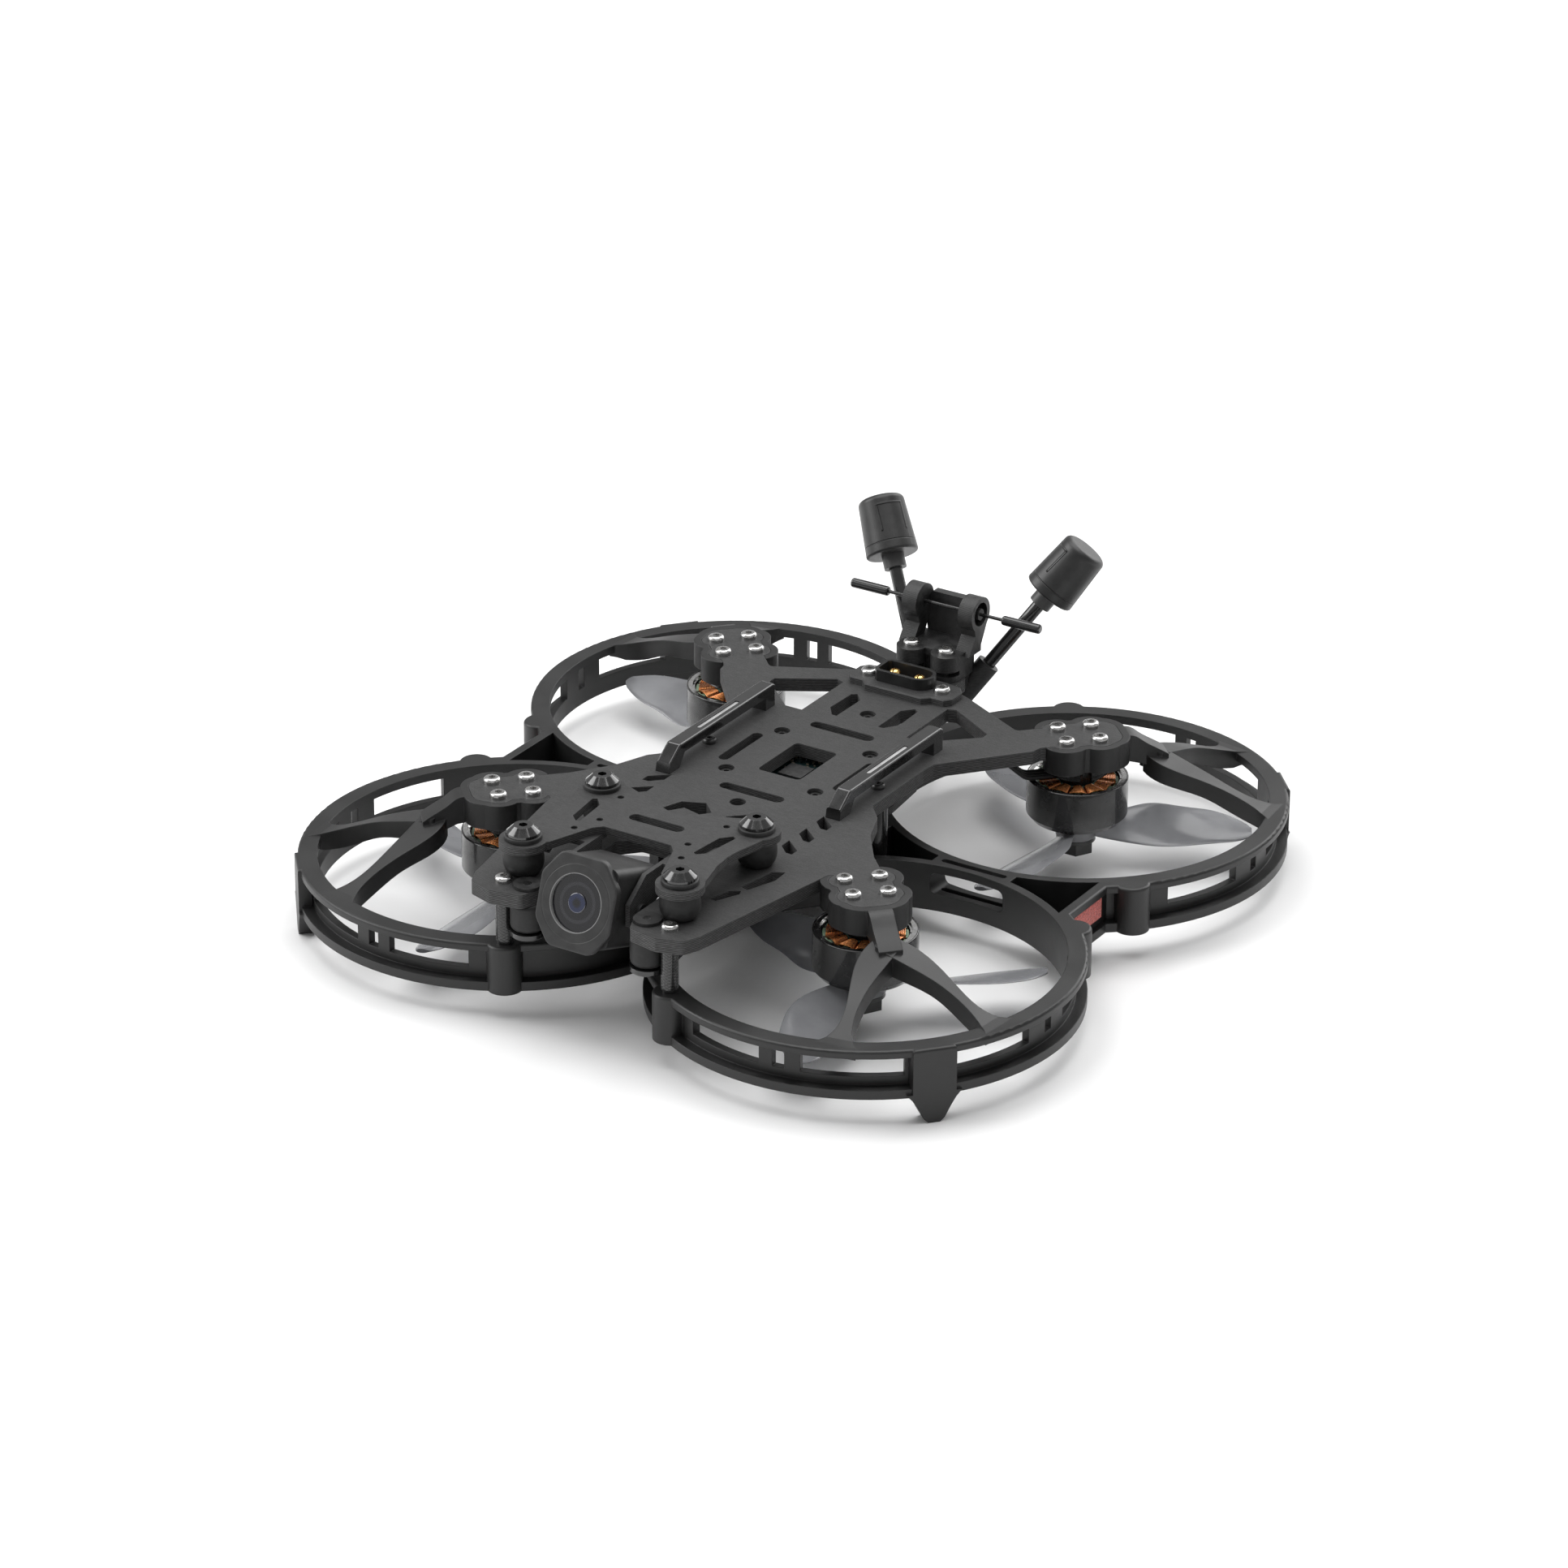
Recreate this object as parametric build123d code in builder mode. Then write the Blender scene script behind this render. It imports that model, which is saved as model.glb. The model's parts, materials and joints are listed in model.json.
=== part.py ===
"""Ducted racing drone with motors hung upside down under a carbon arms plate.

Millimetres. X points to the drone's left, the nose looks along -Y and Z is up.
The origin is on the ground, midway between the four motors.
"""
from build123d import *
import os
from math import atan2, cos, degrees, hypot, radians, sin

os.makedirs("parts", exist_ok=True)

# overall sizes
motor_half_x = 50.1            # half the sideways distance between motors
motor_half_y = 50.2            # half the lengthways distance between motors
arms_top = 35.0                # top face of the arms plate above the ground
arms_thick = 3.5
slip = 0.05                    # radial clearance of a screw, shaft or stem in its hole
seam = 0.1                     # gap along the line where two mouldings meet

# duct guards
duct_top = 19.0
duct_bottom = 6.7
duct_inner_r = 47.6
duct_wall = 2.0
duct_lip = 2.8                 # how far the lips stand out from the wall
upper_lip = 1.9                # thickness of the upper lip
lower_lip = 2.3                # thickness of the lower lip
lip_round = 0.7
window_low = 11.2
window_high = 16.8
web_half = 30.5                # half the length of the web that joins two rings
pocket_floor = 2.0             # material left under the pockets of the web
boss_r = 4.3
boss_angle = 45.0              # boss beside the web, measured from the sideways axis
tab_angle = 122.0              # tab under the front standoff
foot_angle = 41.0
foot_width = 10.5
foot_depth = 4.6
hub_depth = 6.5
hub_wall = 1.9                 # wall round the pocket that takes the arm's end
fork_reach = 20.0              # motor axis to the point where the spoke forks
fork_half_angle = 23.0
spoke_width = 5.0
spoke_lean = 43.5              # direction of the forks, from the sideways axis
windows = ((-112, -88), (-84, -80.5), (-76, -48), (-34.5, -9), (-1.6, 1.6), (9, 34))
web_window = 20.4              # length of the window through the web

# motors
screw_circle_r = 6.0
screw_r = 1.0
head_r = 1.9
head_h = 1.25
base_h = 4.4                   # hub's underside to the top of the bell
base_disc = 2.6                # thickness of the disc that the motor screws pull on
base_r = 7.9
wire_r = 0.45                  # receiver antenna
bell_r = 12.6
bell_wall = 0.4
bell_cover = 0.2               # how far the bell's rim reaches up past the base's underside
bell_h = 11.2
bell_floor = 1.8
flux_wall = 1.15               # steel ring inside the bell
magnet_thick = 0.55
air_gap = 0.3
core_h = 4.6
slots = 12
magnets = 14
axle_r = 2.0
stud_r = 2.5                   # threaded lower end that carries the propeller
prop_r = 44.0
blades = 3
prop_hub_r = 5.1
prop_hub_h = 5.0
nut_flats = 8.0
nut_h = 3.9

# damped upper plate
damper_front = (21.9, -86.6)
damper_rear = (21.8, -53.4)
low_damper = (16.8, -92.6)
upper_rise = 8.75              # top of the arms plate to the top of the upper plate
upper_thick = 2.0
lobe_r = 5.8
ball_r = 4.9
cap_r = 4.0

# camera
camera_tilt = 18.5             # nose-up angle of the lens at rest
camera_drop = 8.15             # underside of the upper plate to the pivot axis
camera_y = -87.0
camera_reach = 11.0            # pivot axis to the front of the bezel
bezel_w = 21.0
bezel_h = 22.8
bezel_thick = 1.9
glass_r = 6.9
camera_w = 18.6
camera_h = 19.4
camera_back = 9.0              # pivot axis to the back of the housing

# boards and bottom plate
stack_half = 12.75             # half the pitch of the four board screws
bottom_thick = 2.0
board_size = 33.5
board_thick = 1.4
board_drop = 3.3               # underside of the arms plate to the underside of the board
counterbore_r = 2.0
counterbore_depth = 2.0

# fittings on top
frame_posts = ((0, 32.5), (8, -50), (-8, -50))
wing_hole = (24.2, -2.4)
tip_hole = (23.2, -93.1)
rail_x = 24.3
rail_w = 4.0
rail_rise = 6.0                # top of the arms plate to the top of a rail
connector_y = 51.4
flange_thick = 1.8
mount_screw = (5.0, 61.9)
mount_rise = 6.8
ear_y = 69.8
ear_rise = 15.6
stem_r = 1.7
aerial_dir = Vector(0.49, 0.386, 0.78).normalized()
aerial_rise = 18.2             # top of the arms plate to the neck under an aerial's cap

# heights and radii worked out from the sizes above
arms_bottom = arms_top - arms_thick
upper_top = arms_top + upper_rise
upper_bottom = upper_top - upper_thick
board_z = arms_bottom - board_drop
hub_bottom = arms_top - hub_depth
base_bottom = hub_bottom - base_h
bell_top = base_bottom + bell_cover
bell_bottom = bell_top - bell_h
prop_top = bell_bottom - 0.4
prop_bottom = prop_top - prop_hub_h
duct_outer_r = duct_inner_r + duct_wall
lip_r = duct_outer_r + duct_lip
web_lip = 1.4                  # how far the lips stand out from the web
bottom_top = duct_top + bottom_thick
flange_top = arms_top + flange_thick
rail_top = arms_top + rail_rise
mount_top = arms_top + mount_rise
ear_z = arms_top + ear_rise
aerial_neck = Vector(21.8, 80.9, arms_top + aerial_rise)
flux_r = bell_r - bell_wall
magnet_r = flux_r - flux_wall
core_r = magnet_r - magnet_thick - air_gap
motor_turn = {"front_left": 36, "front_right": 38, "rear_left": 31, "rear_right": 38}
motor_place = {"front_left": (motor_half_x, -motor_half_y), "front_right": (-motor_half_x, -motor_half_y),
               "rear_left": (motor_half_x, motor_half_y), "rear_right": (-motor_half_x, motor_half_y)}
motor_xy = list(motor_place.values())


def save(builder, name):
    builder.part.label = name
    export_step(builder.part, f"parts/{name}.step")


def mirrored(*points):
    """Each point with its twin on the other side of the centre line."""
    return [(side * x, y) for x, y in points for side in (1, -1)]


def outline(points):
    """A closed polygon, drawn in the current sketch on both sides of the centre line."""
    for side in (1, -1):
        Polygon(*[(side * x, y) for x, y in points], align=None)


def around(x, y, radius, count=4, start=0.0):
    """Places evenly round a vertical axis."""
    step = 360 / count
    return [(x + radius * cos(radians(start + step * i)), y + radius * sin(radians(start + step * i)))
            for i in range(count)]


def rod(x, y, low, high, radius, bore=0):
    """An upright round bar, or a tube when a bore is given."""
    with BuildPart() as made:
        with BuildSketch(Plane.XY.offset(low)):
            with Locations((x, y)):
                Circle(radius)
                if bore:
                    Circle(bore, mode=Mode.SUBTRACT)
        extrude(amount=high - low)
    return made.part


def screw(x, y, seat, length, shank=screw_r, head=head_r, height=head_h, socket=0.75):
    """A button-head screw that points down, with its head on the seat."""
    with BuildPart() as made:
        with BuildSketch(Plane.XY.offset(seat - length)):
            with Locations((x, y)):
                Circle(shank)
        extrude(amount=length)
        with BuildSketch(Plane.XY.offset(seat)):
            with Locations((x, y)):
                Circle(head)
        extrude(amount=height)
        fillet(made.faces().sort_by(Axis.Z)[-1].edges(), height * 0.6)
        with BuildSketch(Plane.XY.offset(seat + height)):
            with Locations((x, y)):
                RegularPolygon(socket, 6)
        extrude(amount=-height * 0.7, mode=Mode.SUBTRACT)
    return made.part


# ---- arms plate
pad_lobe_r = 3.7
pad_nose_r = 9.3
arm_w = 11.0


def arm_pad(x, y):
    """The arm's end: lobes round the four screws and a round nose on the outboard side."""
    with Locations(*around(x, y, screw_circle_r)):
        Circle(pad_lobe_r)
    with Locations((x, y)):
        Circle(screw_circle_r + 0.6)
    turn = degrees(atan2(y, x))
    with Locations(Location((x, y, 0), (0, 0, 1), turn)):
        with Locations((pad_nose_r * 0.5 + 1.2, 0)):
            SlotCenterToCenter(4.4, 2 * pad_nose_r - 9.6, rotation=90)


def pad_outline(grow=0.0):
    """All four arm ends, with their corners rounded, grown by an amount."""
    with BuildSketch() as made:
        for x, y in motor_xy:
            arm_pad(x, y)
        offset(amount=1.0, kind=Kind.ARC)
        offset(amount=-1.0 + grow, kind=Kind.ARC)
    return made.sketch


pads = pad_outline()

with BuildPart() as arms_plate:
    with BuildSketch(Plane.XY.offset(arms_bottom)) as arms_sketch:
        outline([(0, 66), (8, 66), (9.5, 64), (9.5, 57), (16.5, 54), (36.5, 43.6), (44, 45),
                 (46, 38), (45.5, 35.5), (29, 16), (28.5, 12), (28.5, -12), (33, -17), (36.5, -26),
                 (45, -38), (43, -44), (41.5, -46.8), (40, -46.3), (31.4, -93), (29.6, -97.2),
                 (23.2, -99.2), (15.2, -97.8), (12.5, -91), (12.5, -62), (8, -57), (0, -57)])
        for x, y in motor_xy:
            with Locations((x * 0.74, y * 0.74)):
                Rectangle(hypot(x, y) * 0.46, arm_w, rotation=degrees(atan2(y, x)))
        offset(amount=-1.4, kind=Kind.ARC)
        offset(amount=2.8, kind=Kind.ARC)
        offset(amount=-1.4, kind=Kind.ARC)
        add(pads)
        with Locations(*mirrored((stack_half, stack_half), (stack_half, -stack_half), wing_hole, tip_hole,
                                 mount_screw), *frame_posts):
            Circle(screw_r + slip, mode=Mode.SUBTRACT)
        with Locations((0, -27.5)):
            Circle(counterbore_r, mode=Mode.SUBTRACT)
        with Locations(*mirrored(damper_front, low_damper, damper_rear)):
            Circle(2.5, mode=Mode.SUBTRACT)
        for x, y in motor_xy:
            with Locations(*around(x, y, screw_circle_r)):
                Circle(screw_r + slip, mode=Mode.SUBTRACT)
        with Locations((0, 20.4), (0, -21.2)):
            SlotOverall(18, 3.3, mode=Mode.SUBTRACT)
        with Locations((0, -0.3)):
            RectangleRounded(12, 18, 1.2, mode=Mode.SUBTRACT)
        with Locations(*mirrored((16.45, -0.4))):
            SlotOverall(17.8, 2.9, rotation=90, mode=Mode.SUBTRACT)
        with Locations((0, connector_y)):
            RectangleRounded(14.5, 6.5, 1.5, mode=Mode.SUBTRACT)
    extrude(amount=arms_thick)
    with BuildSketch(Plane.XY.offset(arms_bottom)):
        outline([(5.9, 38.5), (8.4, 41.3), (9.7, 40.4), (10, 31), (7.4, 27.5), (6, 27.5)])
        outline([(15.2, 45.6), (17.4, 46.4), (31, 38.2), (31, 36), (20, 25.9), (15.2, 25.9)])
        outline([(21.7, -23.2), (26.3, -27), (26.3, -29.4), (24.6, -29.4), (21.7, -26.6)])
        outline([(21.7, -31), (26.3, -34.8), (26.3, -37.2), (24.6, -37.2), (21.7, -34.4)])
        outline([(21.7, -38.8), (26.3, -42.6), (26.3, -45), (24.6, -45), (21.7, -42.2)])
        outline([(2, -36), (6, -32.2), (11.5, -34.6), (13.5, -40), (11.8, -41), (9, -37.2), (4, -38.4)])
        outline([(25.4, -66), (27.6, -66.6), (30.4, -59), (30.2, -54), (27.4, -55.4)])
        outline([(22.4, -75.2), (24.4, -75.4), (27.2, -69.4), (26.6, -67.8), (24.2, -69.4)])
    extrude(amount=arms_thick, mode=Mode.SUBTRACT)
    with BuildSketch(Plane.XY.offset(arms_top - counterbore_depth)):
        with Locations(*mirrored((stack_half, stack_half), (stack_half, -stack_half)), frame_posts[0]):
            Circle(counterbore_r)
    extrude(amount=counterbore_depth, mode=Mode.SUBTRACT)
save(arms_plate, "arms_plate")


# ---- duct guards
def ring_pair(radius, web_w, web_l):
    """Two discs round the left motors and the rectangle that joins them."""
    with Locations((motor_half_x, motor_half_y), (motor_half_x, -motor_half_y)):
        Circle(radius)
    with Locations((motor_half_x, 0)):
        Rectangle(2 * web_l, 2 * web_w)


def on_ring(end, angle, radius):
    """A point round one left-hand ring: angles run outboard from the web's side."""
    turn = radians(angle)
    return motor_half_x + radius * cos(turn), end * (motor_half_y - radius * sin(-turn))


# one fork: a stem out of the hub and two limbs down to the ring, drawn along +X
land_x = (duct_inner_r + 1.4) * cos(radians(fork_half_angle)) - fork_reach
land_y = (duct_inner_r + 1.4) * sin(radians(fork_half_angle))
limb_turn = atan2(land_y, land_x)
limb_len = hypot(land_x, land_y)
limb_bow = 1.3                 # how far a limb bends sideways
stem_top = arms_top - 1
limb_start = arms_top - 5.0    # height of the limbs' upper face at the fork

with BuildPart() as stem:
    with BuildSketch(Plane.XZ):
        with BuildLine():
            Polyline((6, hub_bottom), (6, arms_top), (12, arms_top))
            Spline((12, arms_top), (16, stem_top - 0.9), (fork_reach + 2.4, limb_start - 0.9),
                   tangents=((1, 0), (1, -0.75)))
            Polyline((fork_reach + 2.4, limb_start - 0.9), (fork_reach + 2.4, limb_start - 5.8),
                     (14, hub_bottom - 0.6), (9.4, hub_bottom), (6, hub_bottom))
        make_face()
    extrude(amount=spoke_width / 2 + 0.4, both=True)

limbs = []
for hand in (1, -1):
    with BuildPart() as limb:
        with BuildSketch(Plane.XZ):
            with BuildLine():
                Spline((-2.2, limb_start), (limb_len * 0.45, limb_start - 5.0), (limb_len - 2.0, duct_top + 0.3),
                       tangents=((1, -0.42), (1, -0.28)))
                Polyline((limb_len - 2.0, duct_top + 0.3), (limb_len + 0.5, duct_top), (limb_len + 0.5, duct_top - 3),
                         (limb_len - 3, duct_top - 4))
                Spline((limb_len - 3, duct_top - 4), (limb_len * 0.45, limb_start - 9.4), (-2.2, limb_start - 5.4),
                       tangents=((-1, 0.1), (-1, 0.42)))
                Line((-2.2, limb_start - 5.4), (-2.2, limb_start))
            make_face()
        extrude(amount=9, both=True)
        with BuildSketch(Plane.XY):
            with BuildLine():
                Spline((-3, spoke_width / 2 + 0.4), (limb_len * 0.5, hand * limb_bow + spoke_width / 2 - 0.5),
                       (limb_len - 3.5, spoke_width / 2), (limb_len + 0.5, spoke_width / 2 + 2.6))
                Line((limb_len + 0.5, spoke_width / 2 + 2.6), (limb_len + 0.5, -spoke_width / 2 - 2.6))
                Spline((limb_len + 0.5, -spoke_width / 2 - 2.6), (limb_len - 3.5, -spoke_width / 2),
                       (limb_len * 0.5, hand * limb_bow - spoke_width / 2 + 0.5), (-3, -spoke_width / 2 - 0.4))
                Line((-3, -spoke_width / 2 - 0.4), (-3, spoke_width / 2 + 0.4))
            make_face()
        extrude(amount=arms_top, mode=Mode.INTERSECT)
        fillet(limb.faces().sort_by(Axis.Z)[-1].edges().filter_by(GeomType.BSPLINE), 0.9)
    limbs.append(limb)

with BuildPart() as duct_guard_left:
    with BuildSketch(Plane.XY.offset(duct_bottom)):
        ring_pair(duct_outer_r, 12, web_half)
    extrude(amount=duct_top - duct_bottom)
    for low, thick in ((duct_bottom, lower_lip), (duct_top - upper_lip, upper_lip)):
        with BuildSketch(Plane.XY.offset(low)):
            ring_pair(lip_r, 10, web_half + web_lip)
        extrude(amount=thick)
    with BuildSketch(Plane.XY.offset(duct_bottom)):
        for end in (1, -1):
            with Locations(on_ring(end, -boss_angle, lip_r - 1.6), on_ring(end, tab_angle, lip_r - 1.9),
                           on_ring(end, boss_angle - 180, lip_r - 1.6)):
                Circle(boss_r)
            with Locations(Location((*on_ring(end, foot_angle, lip_r - 1.2), 0), (0, 0, 1),
                                    end * foot_angle)):
                Rectangle(3.4, foot_width)
    extrude(amount=duct_top - duct_bottom)
    fillet(duct_guard_left.faces().sort_by(Axis.Z)[-1].edges(), lip_round)
    with BuildSketch(Plane.XY.offset(duct_bottom)):
        with Locations((motor_half_x, motor_half_y), (motor_half_x, -motor_half_y)):
            Circle(duct_inner_r)
    extrude(amount=duct_top - duct_bottom, mode=Mode.SUBTRACT)
    with BuildSketch(Plane.XY.offset(duct_bottom + pocket_floor)):
        with Locations((motor_half_x - 20, 0), (motor_half_x + 20, 0)):
            Rectangle(18.2, 24)
        with Locations((motor_half_x, motor_half_y), (motor_half_x, -motor_half_y)):
            Circle(duct_outer_r + 0.2, mode=Mode.SUBTRACT)
        with Locations((motor_half_x, 0)):
            SlotOverall(18, 1.8)
    extrude(amount=duct_top, mode=Mode.SUBTRACT)
    with BuildSketch(Plane.XZ.offset(-9)):
        with Locations((motor_half_x, (window_low + window_high) / 2)):
            RectangleRounded(web_window, window_high - window_low, 1.6)
    extrude(amount=18, mode=Mode.SUBTRACT)
    for end in (1, -1):
        for start, stop in windows:
            if end > 0:
                start, stop = -stop, -start
            axis = Axis((motor_half_x, end * motor_half_y, 0), (0, 0, 1))
            with BuildSketch(Plane((motor_half_x, end * motor_half_y, 0), z_dir=(sin(radians(start)),
                                   -cos(radians(start)), 0), x_dir=(cos(radians(start)),
                                   sin(radians(start)), 0))):
                with Locations((duct_inner_r + 2, (window_low + window_high) / 2)):
                    Rectangle(12, window_high - window_low)
            revolve(axis=axis, revolution_arc=stop - start, mode=Mode.SUBTRACT)
    for end in (1, -1):
        turn = end * foot_angle
        out = Vector(cos(radians(turn)), sin(radians(turn)), 0)
        centre = Vector(motor_half_x, end * motor_half_y, 0)
        with BuildSketch(Plane(centre + out * (lip_r + 0.5), x_dir=(-out.Y, out.X, 0), z_dir=out)):
            with BuildLine():
                Polyline((-foot_width / 2 - 1.4, duct_bottom + 1), (-foot_width / 2, duct_bottom - 0.6),
                         (-foot_width * 0.38, 4), (-foot_width * 0.24, 1.1), (-1.4, 0), (1.4, 0),
                         (foot_width * 0.24, 1.1), (foot_width * 0.38, 4), (foot_width / 2, duct_bottom - 0.6),
                         (foot_width / 2 + 1.4, duct_bottom + 1), close=True)
            make_face()
        extrude(amount=-foot_depth)
    # hubs with their spoke forks
    for end in (1, -1):
        centre = Vector(motor_half_x, end * motor_half_y, 0)
        lean = end * spoke_lean
        add(Location(centre, (0, 0, 1), lean) * stem.part)
        fork = centre + Vector(cos(radians(lean)), sin(radians(lean)), 0) * fork_reach
        for limb, spread in zip(limbs, (fork_half_angle, -fork_half_angle)):
            add(Location(fork, (0, 0, 1), lean + degrees(limb_turn) * (1 if spread > 0 else -1)) * limb.part)
        with BuildSketch(Plane.XY.offset(hub_bottom)):
            add(pad_outline(hub_wall + seam))
            with Locations((motor_half_x, 0)):
                Rectangle(120, 200, mode=Mode.INTERSECT)
        extrude(amount=hub_depth)
    with BuildSketch(Plane.XY.offset(arms_bottom)):
        add(arms_sketch.sketch)
        offset(amount=seam, kind=Kind.ARC)
    extrude(amount=arms_thick + 2, mode=Mode.SUBTRACT)
    with BuildSketch(Plane.XY.offset(hub_bottom)):
        for y in (motor_half_y, -motor_half_y):
            with Locations(*around(motor_half_x, y, screw_circle_r)):
                Circle(screw_r + slip)
    extrude(amount=hub_depth, mode=Mode.SUBTRACT)
    with BuildSketch(Plane.XY.offset(duct_bottom)):
        with Locations((seam / 2 - 10, 0)):
            Rectangle(20, 260)
    extrude(amount=duct_top, mode=Mode.SUBTRACT)
    for x, y in (tip_hole, wing_hole):
        with BuildSketch(Plane.XY.offset(duct_bottom)):
            with Locations((x, y)):
                Circle(screw_r + slip)
        extrude(amount=duct_top - duct_bottom, mode=Mode.SUBTRACT)
save(duct_guard_left, "duct_guard_left")

with BuildPart() as duct_guard_right:
    add(mirror(duct_guard_left.part, about=Plane.YZ))
save(duct_guard_right, "duct_guard_right")


# ---- bottom plate, its standoffs and screws
post_r = 2.5

with BuildPart() as bottom_plate:
    with BuildSketch(Plane.XY.offset(duct_top)):
        outline([(0, 38), (10, 38), (16, 30), (17.5, 16), (17.5, -16), (13, -30), (12, -54), (0, -54)])
        offset(amount=-2, kind=Kind.ARC)
        offset(amount=2, kind=Kind.ARC)
        with Locations(*frame_posts):
            Circle(screw_r + slip, mode=Mode.SUBTRACT)
        with Locations((0, 0), (0, 22), (0, -22)):
            SlotOverall(16, 5, mode=Mode.SUBTRACT)
    extrude(amount=bottom_thick)
save(bottom_plate, "bottom_plate")

with BuildPart() as frame_standoffs:
    for x, y in frame_posts:
        with BuildSketch(Plane.XY.offset(bottom_top)):
            with Locations((x, y)):
                RegularPolygon(post_r, 6)
                Circle(screw_r + slip, mode=Mode.SUBTRACT)
        extrude(amount=arms_bottom - bottom_top)
    for side in (1, -1):
        add(rod(side * wing_hole[0], wing_hole[1], duct_bottom + pocket_floor, arms_bottom, post_r,
                screw_r + slip))
save(frame_standoffs, "frame_standoffs")


def upward_screw(x, y, seat, length):
    """A screw that points up, with its head under the seat."""
    return Location((x, y, seat), (0, 1, 0), 180) * screw(0, 0, 0, length, head=1.8)


with BuildPart() as plate_screws:
    for x, y in frame_posts:
        if y > 0:
            seat = arms_top - counterbore_depth
            add(screw(x, y, seat, seat - duct_top, head=1.8, height=1.2))
        else:
            add(screw(x, y, arms_top, arms_thick + 4, head=1.8))
            add(upward_screw(x, y, duct_top, bottom_thick + 4))
    for side in (1, -1):
        add(upward_screw(side * wing_hole[0], wing_hole[1], duct_bottom, pocket_floor + 5))
        add(upward_screw(side * tip_hole[0], tip_hole[1], duct_bottom, duct_top - duct_bottom + 4))
        add(screw(side * wing_hole[0], wing_hole[1], arms_top, arms_thick + 5, head=1.8))
    for x, y in mirrored((stack_half, stack_half), (stack_half, -stack_half)):
        add(screw(x, y, arms_top - counterbore_depth, arms_thick + 5.6, head=1.8, height=1.2))
save(plate_screws, "plate_screws")

# ---- flight controller stack under the arms plate
board_top = board_z + board_thick
nut_top = board_z - 1.2
nut_thick = 1.6
board_holes = mirrored((stack_half, stack_half), (stack_half, -stack_half))

with BuildPart() as flight_controller:
    with BuildSketch(Plane.XY.offset(board_z)):
        RectangleRounded(board_size, board_size, 2.5)
        with Locations(*board_holes):
            Circle(1.6, mode=Mode.SUBTRACT)
    extrude(amount=board_thick)
    chips = ((-2.5, 3, 6.5, 6.5, 1.0), (4.2, 4.6, 3.6, 2.6, 1.4), (4.2, -1, 3, 3, 0.9), (-4, -4.6, 3.4, 5, 1.1),
             (1.2, -6.4, 5, 2.2, 1.5), (12.6, 5, 4.5, 5.2, 1.1), (12.6, -5, 4.5, 5.2, 1.1),
             (-12.6, 5, 4.5, 5.2, 1.1), (-12.6, -5, 4.5, 5.2, 1.1), (0, 13, 9, 3.2, 1.7), (0, -13, 9, 3.2, 1.7))
    for x, y, w, d, h in chips:
        with BuildSketch(Plane.XY.offset(board_top)):
            with Locations((x, y)):
                Rectangle(w, d)
        extrude(amount=h)
save(flight_controller, "flight_controller")

with BuildPart() as board_grommets:
    for x, y in board_holes:
        add(rod(x, y, board_top, arms_bottom, 2.4, screw_r + slip))
        add(rod(x, y, nut_top, board_z, 2.4, screw_r + slip))
        add(rod(x, y, board_z, board_top, 1.5, screw_r + slip))
save(board_grommets, "board_grommets")

with BuildPart() as hex_nuts:
    for low, places in ((nut_top - nut_thick, board_holes), (arms_bottom - nut_thick, mirrored(mount_screw)),
                        (arms_bottom - 1 - nut_thick, mirrored(damper_front, damper_rear))):
        with BuildSketch(Plane.XY.offset(low)):
            with Locations(*places):
                RegularPolygon(2.3, 6)
                Circle(screw_r + slip, mode=Mode.SUBTRACT)
        extrude(amount=nut_thick)
save(hex_nuts, "hex_nuts")

# ---- video transmitter, receiver, capacitor and power leads
with BuildPart() as video_transmitter:
    with BuildSketch(Plane.XY.offset(bottom_top)):
        with Locations((0, -33.5)):
            RectangleRounded(24, 25, 2)
    extrude(amount=8.8)
    with BuildSketch(Plane.XY.offset(bottom_top + 8.8)):
        with GridLocations(0, 3.2, 1, 7):
            with Locations((0, -33.5)):
                Rectangle(19, 1.4)
    extrude(amount=-1.2, mode=Mode.SUBTRACT)
save(video_transmitter, "video_transmitter")

with BuildPart() as receiver:
    with BuildSketch(Plane.XY.offset(arms_bottom - 1.6)):
        with Locations((11.6, 28.5)):
            Rectangle(8, 13)
    extrude(amount=1.6)
save(receiver, "receiver")

with BuildPart() as capacitor:
    with BuildSketch(Plane.XZ.offset(-19.5)):
        with Locations((-11.4, bottom_top + 4)):
            Circle(4)
    extrude(amount=-16)
    fillet(capacitor.edges().filter_by(GeomType.CIRCLE), 0.6)
save(capacitor, "capacitor")

pin_x = 3.6
pin_r = 1.5
pin_bottom = arms_top - 1.5
lead_r = 1.4
lead_low = bottom_top + 4.4
with BuildPart() as power_leads:
    for side in (1, -1):
        with BuildLine():
            FilletPolyline((side * pin_x, connector_y, pin_bottom), (side * pin_x, connector_y, lead_low),
                           (side * 4.7, connector_y - 14, lead_low), (side * 4.7, 18, lead_low), radius=4)
        with BuildSketch(Plane((side * pin_x, connector_y, pin_bottom), z_dir=(0, 0, -1))):
            Circle(lead_r)
        sweep()
save(power_leads, "power_leads")

# ---- side and front standoffs
with BuildPart() as front_standoffs:
    for side in (1, -1):
        add(rod(side * tip_hole[0], tip_hole[1], duct_top, arms_bottom, 2.05, screw_r + slip))
save(front_standoffs, "front_standoffs")

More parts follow.
